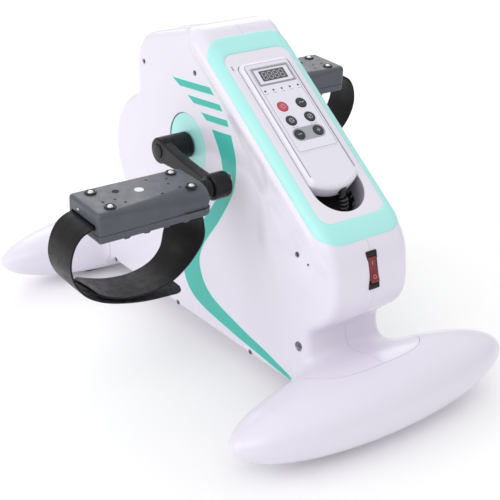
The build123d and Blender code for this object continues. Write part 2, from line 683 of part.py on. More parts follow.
# --- Crank: discs, arms, bolts and spindles ---
for side, word in ((LEFT, "left"), (RIGHT, "right")):
    end_y, end_z = crank_end(side)
    with BuildPart() as hub_disc:
        with BuildSketch(Plane.YZ.offset(side * DISC_IN)):
            with Locations((CRANK_Y, CRANK_Z)):
                Circle(DISC_RADIUS)
                Circle(AXLE_RADIUS, mode=Mode.SUBTRACT)
        extrude(amount=side * (DISC_OUT - DISC_IN))
    save(hub_disc.part, f"{word}_hub_disc")

    with BuildPart() as crank_arm:
        with BuildSketch(Plane.YZ.offset(side * HUB_IN)):
            with Locations((CRANK_Y, CRANK_Z)):
                Circle(HUB_RADIUS)
        extrude(amount=side * (ARM_OUT - HUB_IN))
        with BuildSketch(Plane.YZ.offset(side * ARM_IN)):
            with BuildLine():
                CenterArc((CRANK_Y, CRANK_Z), HUB_RADIUS - 2, 0, 360)
                CenterArc((end_y, end_z), EYE_RADIUS - 2, 0, 360)
            make_hull()
        extrude(amount=side * (ARM_OUT - ARM_IN))
        with BuildSketch(Plane.YZ.offset(side * EYE_IN)):
            with Locations((end_y, end_z)):
                Circle(EYE_RADIUS)
        extrude(amount=side * (ARM_OUT - EYE_IN))
        outer_edges = crank_arm.edges().filter_by(GeomType.CIRCLE).sort_by(Axis.X)
        fillet(outer_edges[-1 if side == LEFT else 0], 2)
        with BuildSketch(Plane.YZ.offset(side * HUB_IN)):
            with Locations((CRANK_Y, CRANK_Z)):
                Circle(AXLE_RADIUS)
        extrude(amount=side * (ARM_OUT - 4 - HUB_IN), mode=Mode.SUBTRACT)
        with BuildSketch(Plane.YZ.offset(side * (EYE_IN + 6))):
            with Locations((end_y, end_z)):
                Circle(SPINDLE_RADIUS)
        extrude(amount=side * 40, mode=Mode.SUBTRACT)
    save(crank_arm.part, f"{word}_crank_arm")

    with BuildPart() as spindle:
        with BuildSketch(Plane.YZ.offset(side * (EYE_IN + 6))):
            with Locations((end_y, end_z)):
                Circle(SPINDLE_RADIUS)
        extrude(amount=side * (SPINDLE_OUT - EYE_IN - 6))
        with BuildSketch(Plane.YZ.offset(side * ARM_OUT)):
            with Locations((end_y, end_z)):
                Circle(COLLAR_RADIUS)
        extrude(amount=side * (COLLAR_OUT - ARM_OUT))
    save(spindle.part, f"{word}_pedal_spindle")

with BuildPart() as crank_bolts:
    for side in (LEFT, RIGHT):
        with BuildSketch(Plane.YZ.offset(side * ARM_OUT)):
            with Locations((CRANK_Y, CRANK_Z)):
                Circle(8.5)
        extrude(amount=side * 1.6)
save(crank_bolts.part, "crank_bolts")


# --- Pedals ---


def pedal_section(side, distance):
    """Plane across the pedal at a distance along X; its x runs to the rear, its y up."""
    end_y, end_z = crank_end(side)
    lean = radians(PEDAL_TILT)
    return Plane(
        origin=(side * distance, end_y, end_z), x_dir=(0, cos(lean), sin(lean)), z_dir=(1, 0, 0)
    )


def pedal_level(side, height):
    """Plane of the pedal's upper face, moved to a height above the spindle; x is world X."""
    end_y, end_z = crank_end(side)
    lean = radians(PEDAL_TILT)
    face = Plane(origin=(0, end_y, end_z), x_dir=(1, 0, 0), z_dir=(0, -sin(lean), cos(lean)))
    return face.offset(height)


def pedal_body(side):
    """The pedal's outer block with its rounded corners."""
    with BuildPart() as block:
        with BuildSketch(pedal_section(side, PEDAL_IN)):
            Rectangle(PEDAL_WIDTH, PEDAL_HEIGHT)
        extrude(amount=side * (PEDAL_OUT - PEDAL_IN))
        ends = block.edges().filter_by(Axis.X, reverse=True)
        uprights = ends.filter_by(lambda edge: abs(edge.length - PEDAL_HEIGHT) < 0.01)
        fillet(uprights, 5)
        fillet(block.faces().sort_by(Axis.Z)[-1].edges(), 3)
    return block.part


PEDAL_PART = -3.0
PEDAL_MID = (PEDAL_IN + PEDAL_OUT) / 2
SCREW_OFFSETS = [(u, v) for u in (-48.0, 48.0) for v in (-20.0, 20.0)]
SLOT_HALF = STRAP_WIDTH / 2 + 0.6
STRAP_EXIT = PEDAL_OUT - 12
STRAP_INNER = PEDAL_IN + 8

# The strap's centre line seen from the front, as (distance along X, height over the spindle):
# out of the outer slot, round under the foot's space, and up into the inner slot.
STRAP_COURSE = [
    (STRAP_EXIT, 1.0),
    (270.0, 1.0),
    (277.0, -42.0),
    (250.0, -95.0),
    (190.0, -94.0),
    (150.0, -86.0),
    (122.0, -48.0),
    (STRAP_INNER, -10.2),
]
STRAP_BENDS = [20.0, 50.0, 35.0, 80.0, 45.0, 45.0]


for side, word in ((LEFT, "left"), (RIGHT, "right")):
    end_y, end_z = crank_end(side)
    block = pedal_body(side)

    # Hollow underside housing, upper part as it hangs: top wall, side walls and two bush seats.
    with BuildPart() as pedal_shell:
        add(block)
        with BuildSketch(pedal_level(side, PEDAL_PART)):
            with Locations((side * PEDAL_MID, 0)):
                Rectangle(200, 200)
        extrude(amount=-40, mode=Mode.SUBTRACT)
        with BuildSketch(pedal_level(side, PEDAL_PART)):
            with Locations((side * PEDAL_MID, 0)):
                Rectangle(PEDAL_OUT - PEDAL_IN - 2 * PEDAL_WALL, PEDAL_WIDTH - 2 * PEDAL_WALL)
        extrude(amount=PEDAL_HEIGHT / 2 - PEDAL_PART - PEDAL_WALL, mode=Mode.SUBTRACT)
        for u in (PEDAL_IN + PEDAL_WALL, PEDAL_OUT - 40):
            with BuildSketch(pedal_section(side, u)):
                Rectangle(2 * BUSH_RADIUS + 6, 2 * BUSH_RADIUS + 7)
            extrude(amount=side * BUSH_LENGTH)
        with BuildSketch(pedal_level(side, PEDAL_PART)):
            with Locations((side * PEDAL_MID, 0)):
                Rectangle(200, 200)
        extrude(amount=-40, mode=Mode.SUBTRACT)
        for u in (PEDAL_IN - 1, PEDAL_OUT - 40):
            with BuildSketch(pedal_section(side, u)):
                Circle(BUSH_RADIUS)
            extrude(amount=side * (BUSH_LENGTH + 6), mode=Mode.SUBTRACT)
        with BuildSketch(pedal_section(side, PEDAL_OUT - 6)):
            with Locations((0, 1.0)):
                Rectangle(2 * SLOT_HALF, STRAP_THICK + 3.6)
        extrude(amount=side * 10, mode=Mode.SUBTRACT)
        for u, v in SCREW_OFFSETS:
            with BuildSketch(pedal_level(side, PEDAL_HEIGHT / 2)):
                with Locations((side * PEDAL_MID + u, v)):
                    Circle(2.2)
            extrude(amount=-8, mode=Mode.SUBTRACT)
    save(pedal_shell.part, f"{word}_pedal_shell")

    # Tread half, below as it hangs, with grip ribs on its sole.
    with BuildPart() as pedal_tread:
        add(block)
        with BuildSketch(pedal_level(side, PEDAL_PART - 0.1)):
            with Locations((side * PEDAL_MID, 0)):
                Rectangle(200, 200)
        extrude(amount=40, mode=Mode.SUBTRACT)
        with BuildSketch(pedal_level(side, PEDAL_PART)):
            with Locations((side * PEDAL_MID, 0)):
                Rectangle(PEDAL_OUT - PEDAL_IN - 2 * PEDAL_WALL, PEDAL_WIDTH - 2 * PEDAL_WALL)
        extrude(amount=-(PEDAL_HEIGHT / 2 + PEDAL_PART - PEDAL_WALL), mode=Mode.SUBTRACT)
        with BuildSketch(pedal_level(side, -PEDAL_HEIGHT / 2)):
            with Locations((side * PEDAL_MID, 0)):
                with GridLocations(16, 18, 6, 3):
                    SlotOverall(10, 4)
        extrude(amount=-2.2)
        for u in (PEDAL_IN - 1, PEDAL_OUT - 40):
            with BuildSketch(pedal_section(side, u)):
                Circle(BUSH_RADIUS + 0.4)
            extrude(amount=side * (BUSH_LENGTH + 6), mode=Mode.SUBTRACT)
        with BuildSketch(Plane.XY.offset(end_z - 30)):
            with Locations((side * STRAP_INNER, end_y)):
                Rectangle(STRAP_THICK + 1.6, 2 * SLOT_HALF)
        extrude(amount=24, mode=Mode.SUBTRACT)
    save(pedal_tread.part, f"{word}_pedal_tread")

    with BuildPart() as pedal_screws:
        for u, v in SCREW_OFFSETS:
            with BuildSketch(pedal_level(side, PEDAL_HEIGHT / 2)):
                with Locations((side * PEDAL_MID + u, v)):
                    Circle(6.2)
            extrude(amount=1.6)
            with BuildSketch(pedal_level(side, PEDAL_HEIGHT / 2 + 1.6)):
                with Locations((side * PEDAL_MID + u, v)):
                    Circle(3.6)
            extrude(amount=1.0)
            with BuildSketch(pedal_level(side, PEDAL_HEIGHT / 2)):
                with Locations((side * PEDAL_MID + u, v)):
                    Circle(1.9)
            extrude(amount=-7)
    save(pedal_screws.part, f"{word}_pedal_screws")

    with BuildPart() as pedal_mark:
        with BuildSketch(pedal_level(side, PEDAL_HEIGHT / 2)):
            with Locations((side * PEDAL_MID, 0)):
                Circle(5)
        extrude(amount=0.4)
    save(pedal_mark.part, f"{word}_pedal_mark")

    with BuildPart() as pedal_bushes:
        for u in (PEDAL_IN, PEDAL_OUT - 40):
            with BuildSketch(pedal_section(side, u)):
                Circle(BUSH_RADIUS)
                Circle(BUSH_BORE, mode=Mode.SUBTRACT)
            extrude(amount=side * BUSH_LENGTH)
    save(pedal_bushes.part, f"{word}_pedal_bushes")

    course = [(side * distance, end_y, end_z + height) for distance, height in STRAP_COURSE]
    with BuildPart() as strap:
        with BuildLine():
            FilletPolyline(*course, radius=STRAP_BENDS)
        with BuildSketch(Plane(origin=course[0], x_dir=(0, 1, 0), z_dir=(side, 0, 0))):
            Rectangle(STRAP_WIDTH, STRAP_THICK)
        sweep()
    save(strap.part, f"{word}_strap")

# --- Handset ---
FACE_WALL = 2.0
WINDOW_HALF, WINDOW_TOP, WINDOW_LOW = 24.4, 31.9, 55.0
BOARD_TOP = 2.2


def key_places():
    """(x, distance down the slope) of each key, row by row, left then right."""
    return [(x, row) for row in KEY_ROWS for x in (-KEY_X, KEY_X)]


with BuildPart() as handset_back:
    with BuildSketch(console_level(HANDSET_BACK)):
        add(handset_outline(0))
    extrude(amount=HANDSET_SPLIT - HANDSET_BACK)
    fillet(handset_back.faces().sort_by(Axis.Z)[0].edges(), 2)
    with BuildSketch(console_level(HANDSET_BACK + FACE_WALL)):
        add(handset_outline(-FACE_WALL))
    extrude(amount=20, mode=Mode.SUBTRACT)
save(handset_back.part, "handset_back")

with BuildPart() as handset_front:
    with BuildSketch(console_level(HANDSET_SPLIT)):
        add(handset_outline(0))
    extrude(amount=HANDSET_FACE - HANDSET_SPLIT)
    with BuildSketch(console_level(HANDSET_SPLIT)):
        add(handset_outline(-FACE_WALL))
    extrude(amount=HANDSET_FACE - HANDSET_SPLIT - FACE_WALL, mode=Mode.SUBTRACT)
    outer_face = handset_front.faces().filter_by(lambda face: face.normal_at().dot(CONSOLE.z_dir) > 0.99)
    fillet(outer_face.sort_by(Axis.Z)[-1].edges(), 2)
    with BuildSketch(console_level(HANDSET_SPLIT)):
        with Locations((0, -(WINDOW_TOP + WINDOW_LOW) / 2)):
            Rectangle(2 * WINDOW_HALF - 3, WINDOW_LOW - WINDOW_TOP - 3)
        with Locations(*[(x, -row) for x, row in key_places()]):
            Circle(KEY_RADIUS + 0.4)
        with Locations(*[(step * LED_PITCH, -LED_ROW) for step in range(-2, 3)]):
            Circle(1.2)
    extrude(amount=20, mode=Mode.SUBTRACT)
save(handset_front.part, "handset_front")

with BuildPart() as handset_overlay:
    with BuildSketch(console_level(HANDSET_FACE)):
        with Locations((0, -(OVERLAY_TOP + OVERLAY_LOW) / 2)):
            RectangleRounded(2 * OVERLAY_HALF, OVERLAY_LOW - OVERLAY_TOP, 2)
        with Locations((0, -(WINDOW_TOP + WINDOW_LOW) / 2)):
            Rectangle(2 * WINDOW_HALF, WINDOW_LOW - WINDOW_TOP, mode=Mode.SUBTRACT)
        with Locations(*[(x, -row) for x, row in key_places()]):
            Circle(KEY_RADIUS + 0.3, mode=Mode.SUBTRACT)
        with Locations(*[(step * LED_PITCH, -LED_ROW) for step in range(-2, 3)]):
            Circle(1.2, mode=Mode.SUBTRACT)
    extrude(amount=OVERLAY_THICK)
save(handset_overlay.part, "handset_overlay")

with BuildPart() as display_lens:
    with BuildSketch(console_level(HANDSET_FACE)):
        with Locations((0, -(WINDOW_TOP + WINDOW_LOW) / 2)):
            Rectangle(2 * WINDOW_HALF - 0.2, WINDOW_LOW - WINDOW_TOP - 0.2)
    extrude(amount=0.6)
    with BuildSketch(console_level(HANDSET_FACE - 1.8)):
        with Locations((0, -(WINDOW_TOP + WINDOW_LOW) / 2)):
            Rectangle(2 * WINDOW_HALF - 3.2, WINDOW_LOW - WINDOW_TOP - 3.2)
    extrude(amount=1.8)
save(display_lens.part, "display_lens")

with BuildPart() as handset_board:
    with BuildSketch(console_level(BOARD_TOP - 1.6)):
        with Locations((0, -86)):
            Rectangle(58, 120)
    extrude(amount=1.6)
    with BuildSketch(console_level(BOARD_TOP)):
        with Locations((0, -(WINDOW_TOP + WINDOW_LOW) / 2)):
            Rectangle(2 * WINDOW_HALF - 5, WINDOW_LOW - WINDOW_TOP - 4)
    extrude(amount=HANDSET_FACE - 2.0 - BOARD_TOP)
    with BuildSketch(console_level(BOARD_TOP - 1.6)):
        with Locations(*[(x, -t) for x in (-24, 24) for t in (34, 140)]):
            Circle(2.4)
    extrude(amount=HANDSET_BACK + FACE_WALL - BOARD_TOP + 1.6)
save(handset_board.part, "handset_board")

with BuildPart() as indicator_leds:
    with BuildSketch(console_level(BOARD_TOP)):
        with Locations(*[(step * LED_PITCH, -LED_ROW) for step in range(-2, 3)]):
            Circle(1.1)
    extrude(amount=HANDSET_FACE + 0.5 - BOARD_TOP)
save(indicator_leds.part, "indicator_leds")

KEY_NAMES = ["key_power", "key_program", "key_time", "key_mode", "key_slower", "key_faster"]
for name, (x, row) in zip(KEY_NAMES, key_places()):
    with BuildPart() as key:
        with BuildSketch(console_level(KEY_BASE)):
            with Locations((x, -row)):
                Circle(KEY_RADIUS)
        extrude(amount=KEY_TOP - KEY_BASE)
        fillet(key.edges().sort_by(Axis.Z)[-1], 0.8)
    save(key.part, name)

# --- Handset cord: strain relief, curly cord and the socket it plugs into ---
CORD_X, CORD_RADIUS = 5.0, 5.5
CORD_ROUTE = [(201.0, -5.0), (207.0, -9.0), (211.0, -17.0), (212.5, -28.0)]
SOCKET_RADIUS = 6.2


def console_point(x, down, height):
    """World point of a place on the console, given down the slope and along its normal."""
    return CONSOLE.from_local_coords((x, -down, height))


cord_points = [Vector(*console_point(CORD_X, *place)) for place in CORD_ROUTE]
relief_plane = Plane(
    origin=cord_points[0], x_dir=(1, 0, 0), z_dir=cord_points[0] - cord_points[1]
)
with BuildPart() as strain_relief:
    for step in range(4):
        with BuildSketch(relief_plane.offset(2.2 * step)):
            Circle(4.6 + 0.35 * step)
        extrude(amount=1.5)
    with BuildSketch(relief_plane):
        Circle(3.6)
    extrude(amount=8.6)
    with BuildSketch(console_level(HANDSET_BACK)):
        add(handset_outline(0.02))
    extrude(amount=40, mode=Mode.SUBTRACT)
save(strain_relief.part, "strain_relief")

cord_radii = []
for before, corner, after in zip(cord_points, cord_points[1:], cord_points[2:]):
    turn = radians((corner - before).get_angle(after - corner))
    cord_radii.append(0.45 * min((corner - before).length, (after - corner).length) / tan(turn / 2))
with BuildPart() as handset_cord:
    with BuildLine():
        FilletPolyline(*cord_points, radius=cord_radii)
    with BuildSketch(Plane(origin=cord_points[0], z_dir=cord_points[1] - cord_points[0])):
        Circle(CORD_RADIUS)
    sweep()
save(handset_cord.part, "handset_cord")

cord_end = Plane(origin=cord_points[-1], z_dir=cord_points[-1] - cord_points[-2])
with BuildPart() as cord_socket:
    with BuildSketch(cord_end):
        Circle(SOCKET_RADIUS)
    extrude(amount=40)
    with BuildSketch(console_level(RECESS_FLOOR)):
        Rectangle(400, 600)
    extrude(amount=-60, mode=Mode.SUBTRACT)
save(cord_socket.part, "cord_socket")
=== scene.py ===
import math

import bpy
import numpy as np
from mathutils import Matrix, Vector
from mathutils.geometry import delaunay_2d_cdt


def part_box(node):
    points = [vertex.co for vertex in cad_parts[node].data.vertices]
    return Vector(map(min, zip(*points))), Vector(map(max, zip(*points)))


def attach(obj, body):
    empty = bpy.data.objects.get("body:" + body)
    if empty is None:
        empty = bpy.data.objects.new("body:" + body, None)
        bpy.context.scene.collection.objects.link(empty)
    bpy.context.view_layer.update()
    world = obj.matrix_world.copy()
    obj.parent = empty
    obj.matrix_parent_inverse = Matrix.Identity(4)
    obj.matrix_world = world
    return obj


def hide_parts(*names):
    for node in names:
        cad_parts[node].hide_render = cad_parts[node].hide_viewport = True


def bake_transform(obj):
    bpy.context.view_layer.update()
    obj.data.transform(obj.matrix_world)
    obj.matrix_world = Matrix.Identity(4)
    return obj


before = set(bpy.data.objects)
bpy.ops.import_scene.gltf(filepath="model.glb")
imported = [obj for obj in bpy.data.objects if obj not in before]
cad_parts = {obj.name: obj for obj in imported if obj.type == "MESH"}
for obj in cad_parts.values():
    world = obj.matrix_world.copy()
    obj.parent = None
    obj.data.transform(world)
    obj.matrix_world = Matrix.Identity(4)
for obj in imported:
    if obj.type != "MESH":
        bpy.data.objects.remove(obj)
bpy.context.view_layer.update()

# All the making is in millimetres, in the row's frame, and MM turns it into metres.
MM = 0.001

# --- Sizes shared with the CAD model, in millimetres ---
SLOPE = math.radians(36.8)
CONSOLE_Y, CONSOLE_Z = -31.3, 372.6
FRONT_FOOT = (-260.0, 55.7)
REAR_FOOT = (268.2, 47.5)
FOOT_SPAN, FOOT_HEIGHT, FOOT_Z = 190.0, 42.0, 43.0
PLATE = 52.0
CRANK = (22.0, 256.5)
SIDES = ((-1, "left"), (1, "right"))


def middle_of(node):
    """Where a CAD node's middle lies, (y, z), in millimetres."""
    low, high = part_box(node)
    return tuple((low[i] + high[i]) / 2 / MM for i in (1, 2))


ENDS = {word: middle_of(f"{word}_pedal_bushes") for _, word in SIDES}
PEDAL_TILT = math.radians(3.0)


def added(name, data):
    """A new object in the scene."""
    thing = bpy.data.objects.new(name, data)
    bpy.context.scene.collection.objects.link(thing)
    return thing


# --- camera ---
AZIMUTH, ELEVATION, ROLL = math.radians(-36.5), math.radians(25.07), math.radians(0.48)
back = Vector(
    (
        math.sin(AZIMUTH) * math.cos(ELEVATION),
        -math.cos(AZIMUTH) * math.cos(ELEVATION),
        math.sin(ELEVATION),
    )
)
level = Vector((-back.y, back.x, 0)).normalized()
lift = back.cross(level)
across = level * math.cos(ROLL) + lift * math.sin(ROLL)
upward = lift * math.cos(ROLL) - level * math.sin(ROLL)
camera_data = bpy.data.cameras.new("camera")
camera_data.lens = 82.13
camera_data.sensor_width = 36.0
camera_data.shift_x = 0.004
camera = added("camera", camera_data)
turn = Matrix((across, upward, back)).transposed().to_4x4()
camera.matrix_world = Matrix.Translation((-0.7427, -1.0311, 0.7089)) @ turn
bpy.context.scene.camera = camera

# --- materials ---

# The part of a noise's range that is spread over a tint or a roughness.
NOISE_LOW, NOISE_HIGH = 0.3, 0.7


def dial(node, **values):
    """Sets a node's inputs by name, with _ for each space."""
    for key, value in values.items():
        node.inputs[key.replace("_", " ")].default_value = value


class Nodes:
    """A small builder for one material's nodes."""

    def __init__(self, name, color, rough, metal=0.0, coat=0.0, coat_rough=0.06, specular=0.5):
        self.material = bpy.data.materials.new(name)
        self.material.use_nodes = True
        self.material.diffuse_color = (*color, 1)
        self.tree = self.material.node_tree
        self.shader = self.tree.nodes["Principled BSDF"]
        dial(
            self.shader, Base_Color=(*color, 1), Roughness=rough, Metallic=metal, Coat_Weight=coat,
            Coat_Roughness=coat_rough, Specular_IOR_Level=specular,
        )
        self.place = self.tree.nodes.new("ShaderNodeTexCoord").outputs["Object"]

    def add(self, kind, source, socket, **values):
        """A node fed by source, with its other inputs set."""
        node = self.tree.nodes.new(kind)
        dial(node, **values)
        self.tree.links.new(source, node.inputs[socket])
        return node

    def noise(self, scale, detail=3.0, rough=0.5, stretch=None):
        place = self.place
        if stretch:
            place = self.add("ShaderNodeMapping", place, "Vector", Scale=stretch).outputs["Vector"]
        values = {"Scale": scale, "Detail": detail, "Roughness": rough}
        return self.add("ShaderNodeTexNoise", place, "Vector", **values).outputs["Fac"]

    def spread(self, value, low, high):
        values = {"From_Min": NOISE_LOW, "From_Max": NOISE_HIGH, "To_Min": low, "To_Max": high}
        return self.add("ShaderNodeMapRange", value, "Value", **values).outputs["Result"]

    def tint(self, value, first, second):
        node = self.tree.nodes.new("ShaderNodeMix")
        node.data_type = "RGBA"
        self.tree.links.new(self.spread(value, 0.0, 1.0), node.inputs["Factor"])
        colors = [socket for socket in node.inputs if socket.type == "RGBA"]
        for socket, color in zip(colors, (first, second)):
            socket.default_value = (*color, 1)
        mixed = [socket for socket in node.outputs if socket.type == "RGBA"]
        self.tree.links.new(mixed[0], self.shader.inputs["Base Color"])

    def rough(self, value, low, high):
        self.tree.links.new(self.spread(value, low, high), self.shader.inputs["Roughness"])

    def bump(self, value, strength, distance):
        node = self.add("ShaderNodeBump", value, "Height", Strength=strength, Distance=distance)
        self.tree.links.new(node.outputs["Normal"], self.shader.inputs["Normal"])


def gloss_plastic(name, color, second, rough, coat):
    """Injection-moulded gloss plastic: very fine orange peel, faint tone drift, uneven gloss."""
    made = Nodes(name, color, rough, coat=coat, coat_rough=0.08)
    made.tint(made.noise(9.0, 2.0), color, second)
    made.rough(made.noise(60.0, 3.0), rough - 0.05, rough + 0.06)
    made.bump(made.noise(420.0, 2.0), 0.015, 0.0001)
    return made.material


def grained_plastic(name, color, second, rough, grain=1500.0, depth=0.25, specular=0.5):
    """Spark-textured matt plastic with a faint scuffed variation."""
    made = Nodes(name, color, rough, specular=specular)
    made.tint(made.noise(45.0, 4.0), color, second)
    made.rough(made.noise(120.0, 4.0), rough - 0.08, rough + 0.08)
    made.bump(made.noise(grain, 2.0, 0.6), depth, 0.0003)
    return made.material


def rubber(name, color, second, rough, coat=0.0, specular=0.5):
    """Soft PVC or rubber: a fine grain and patchy, dull gloss."""
    made = Nodes(name, color, rough, coat=coat, coat_rough=0.3, specular=specular)
    made.tint(made.noise(70.0, 4.0), color, second)
    made.rough(made.noise(160.0, 3.0), rough - 0.08, rough + 0.1)
    made.bump(made.noise(900.0, 3.0), 0.18, 0.0003)
    return made.material


def metal(name, color, second, rough, stretch=(1, 12, 12), painted=False):
    """Metal brushed along one axis, or a thin even coat of paint on it."""
    made = Nodes(name, color, rough, 0.0 if painted else 1.0, 0.05 if painted else 0.0, specular=0.2)
    made.tint(made.noise(30.0, 4.0), color, second)
    made.rough(made.noise(90.0, 4.0, stretch=stretch), rough - 0.08, rough + 0.1)
    made.bump(made.noise(500.0, 3.0, stretch=stretch), 0.08 if painted else 0.15, 0.0002)
    return made.material


WHITE = gloss_plastic("white_gloss", (0.800, 0.760, 0.868), (0.785, 0.747, 0.853), 0.345, 0.45)
TRAY_WHITE = gloss_plastic("tray_gloss", (0.82, 0.79, 0.875), (0.805, 0.775, 0.86), 0.345, 0.4)
HANDSET_WHITE = gloss_plastic("handset_gloss", (0.79, 0.775, 0.86), (0.775, 0.76, 0.845), 0.34, 0.3)
MINT = gloss_plastic("mint_gloss", (0.43, 0.86, 0.835), (0.415, 0.845, 0.82), 0.345, 0.45)
MINT_LIGHT = gloss_plastic("mint_edge", (0.60, 0.90, 0.85), (0.58, 0.88, 0.83), 0.35, 0.3)
TEAL = gloss_plastic("teal_print", (0.045, 0.50, 0.43), (0.04, 0.46, 0.395), 0.4, 0.1)
FILM = gloss_plastic("overlay_film", (0.80, 0.785, 0.88), (0.785, 0.77, 0.865), 0.42, 0.1)
LINE_GREY = grained_plastic("printed_line", (0.30, 0.28, 0.34), (0.33, 0.31, 0.37), 0.5)
PILL_GREY = grained_plastic("key_surround", (0.36, 0.37, 0.42), (0.38, 0.39, 0.44), 0.5)
# Painted shade: these two colours stand for shade in hollows. The first is near-black for deep hollows, the
# second lilac grey for white plastic walls in shade.
SHADOW = grained_plastic("painted_recess_shadow", (0.012, 0.012, 0.014), (0.018, 0.018, 0.02), 0.6)
WALL_SHADE = grained_plastic("painted_wall_shade", (0.40, 0.38, 0.46), (0.37, 0.35, 0.43), 0.5)
ENAMEL = metal("black_enamel", (0.008, 0.008, 0.010), (0.014, 0.013, 0.014), 0.22, (1, 1, 1), True)
STEEL = metal("bright_steel", (0.74, 0.74, 0.76), (0.66, 0.66, 0.68), 0.2)
DARK_STEEL = metal("dark_steel", (0.20, 0.20, 0.21), (0.16, 0.16, 0.17), 0.4)
FRAME = metal("frame_paint", (0.03, 0.03, 0.033), (0.04, 0.04, 0.042), 0.45, (1, 1, 1), True)
ALUMINIUM = metal("aluminium_case", (0.62, 0.63, 0.64), (0.55, 0.56, 0.57), 0.35, (12, 1, 12))
PEDAL = grained_plastic("pedal_grain", (0.082, 0.089, 0.111), (0.071, 0.077, 0.096), 0.38, 1300.0, 0.12)
PEDAL_DARK = grained_plastic("pedal_dimple", (0.02, 0.022, 0.026), (0.015, 0.016, 0.019), 0.5, specular=0.2)
STRAP = rubber("strap_pvc", (0.007, 0.007, 0.008), (0.011, 0.011, 0.013), 0.4, 0.0, 0.2)
CORD = rubber("cord_pvc", (0.013, 0.013, 0.014), (0.02, 0.02, 0.021), 0.36, 0.3)
PAD = rubber("pad_rubber", (0.03, 0.03, 0.03), (0.045, 0.045, 0.045), 0.75)
BELT = rubber("belt_rubber", (0.02, 0.02, 0.02), (0.03, 0.03, 0.03), 0.7)
BLACK = grained_plastic("black_plastic", (0.010, 0.009, 0.010), (0.015, 0.014, 0.015), 0.38, specular=0.25)
SCREW_BLACK = metal("screw_black", (0.02, 0.02, 0.022), (0.03, 0.03, 0.03), 0.25, (1, 1, 1), True)
LABEL = grained_plastic("sticker_paper", (0.82, 0.82, 0.82), (0.76, 0.76, 0.76), 0.5)
NYLON = grained_plastic("bush_nylon", (0.62, 0.62, 0.58), (0.58, 0.58, 0.54), 0.45)
RED_KEY = rubber("red_key", (0.55, 0.035, 0.075), (0.60, 0.05, 0.09), 0.4, 0.2)
GREY_KEY = rubber("grey_key", (0.026, 0.028, 0.036), (0.036, 0.039, 0.047), 0.42, 0.1, 0.35)
ICON = grained_plastic("key_icon", (0.44, 0.45, 0.50), (0.40, 0.41, 0.46), 0.5)
LCD = gloss_plastic("lcd_window", (0.045, 0.045, 0.058), (0.055, 0.055, 0.068), 0.2, 0.6)
LCD_DIGIT = gloss_plastic("lcd_digit", (0.46, 0.46, 0.52), (0.42, 0.42, 0.48), 0.4, 0.2)
BOARD = grained_plastic("circuit_board", (0.02, 0.16, 0.07), (0.015, 0.12, 0.05), 0.4)
MOTOR = metal("motor_case", (0.10, 0.105, 0.12), (0.13, 0.135, 0.15), 0.4, (1, 1, 1), True)
RED_ROCKER = gloss_plastic("red_rocker", (0.17, 0.012, 0.016), (0.20, 0.016, 0.022), 0.22, 0.4)
dial(RED_ROCKER.node_tree.nodes["Principled BSDF"], Subsurface_Weight=0.15)
MARK_WHITE = grained_plastic("switch_mark", (0.60, 0.26, 0.26), (0.55, 0.22, 0.22), 0.45)

# --- mesh tools ---


def unit(vectors):
    return vectors / np.maximum(np.linalg.norm(vectors, axis=1, keepdims=True), 1e-9)


def shaped(name, points, faces, material):
    """A smooth-shaded object from points in millimetres."""
    mesh = bpy.data.meshes.new(name)
    mesh.from_pydata((np.asarray(points, float) * MM).tolist(), [], [list(map(int, f)) for f in faces])
    mesh.validate()
    mesh.update()
    for polygon in mesh.polygons:
        polygon.use_smooth = True
    mesh.materials.append(material)
    return added(name, mesh)


def make(name, points, faces, material, body, slot, replaces=(), sharp=35.0, normals=None, weigh=True):
    """A mesh piece riding on a body. It has its own normals, or edges sharp from an angle up."""
    piece = shaped(name, points, faces, material)
    mesh = piece.data
    if normals is not None:
        mesh.normals_split_custom_set_from_vertices(np.asarray(normals, float).tolist())
    else:
        mesh.set_sharp_from_angle(angle=math.radians(sharp))
        if weigh:
            piece.modifiers.new("weigh", "WEIGHTED_NORMAL").keep_sharp = True
    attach(piece, body)
    if replaces:
        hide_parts(*replaces)
    return piece


class Frame:
    """A place in the row: an origin and three directions. local (a, b, h) -> world."""

    def __init__(self, origin, a, b):
        self.origin = np.array(origin, float)
        self.a = np.array(a, float) / np.linalg.norm(a)
        self.b = np.array(b, float) / np.linalg.norm(b)
        self.n = np.cross(self.a, self.b)

    def at(self, points):
        p = np.atleast_2d(np.asarray(points, float))
        height = p[:, 2:3] if p.shape[1] > 2 else np.zeros((len(p), 1))
        return self.origin + p[:, :1] * self.a + p[:, 1:2] * self.b + height * self.n

    def over(self, flat, height):
        """Places over points of the plane, at one height or each at its own."""
        return self.at(np.column_stack([flat, np.full(len(flat), height)]))

    def moved(self, a, b, height=0.0):
        """The same directions from another of its places."""
        return Frame(self.at([[a, b, height]])[0], self.a, self.b)

    def local(self, points):
        away = points - self.origin
        return away @ self.a, away @ self.b, away @ self.n


def rounded(points, radii, parts=8):
    """A closed outline with each corner replaced by an arc of the same number of parts."""
    out = []
    for i, (corner, radius) in enumerate(zip(points, radii)):
        p = np.array(corner, float)
        a, b = np.array(points[i - 1], float), np.array(points[(i + 1) % len(points)], float)
        if not radius:
            out.append(p)
            continue
        u, v = (a - p) / np.linalg.norm(a - p), (b - p) / np.linalg.norm(b - p)
        half = math.acos(float(np.clip(u @ v, -1, 1))) / 2
        centre = p + (u + v) / np.linalg.norm(u + v) * (radius / math.sin(half))
        start, end = p + u * radius / math.tan(half) - centre, p + v * radius / math.tan(half) - centre
        first = math.atan2(start[1], start[0])
        turn = (math.atan2(end[1], end[0]) - first + math.pi) % (2 * math.pi) - math.pi
        for j in range(parts + 1):
            angle = first + turn * j / parts
            out.append(centre + radius * np.array([math.cos(angle), math.sin(angle)]))
    return np.array(out)


def box_loop(half, low, high, radius, parts=8):
    """A rounded rectangle, anticlockwise, as wide to both sides."""
    return rounded([(-half, low), (half, low), (half, high), (-half, high)], [radius] * 4, parts)


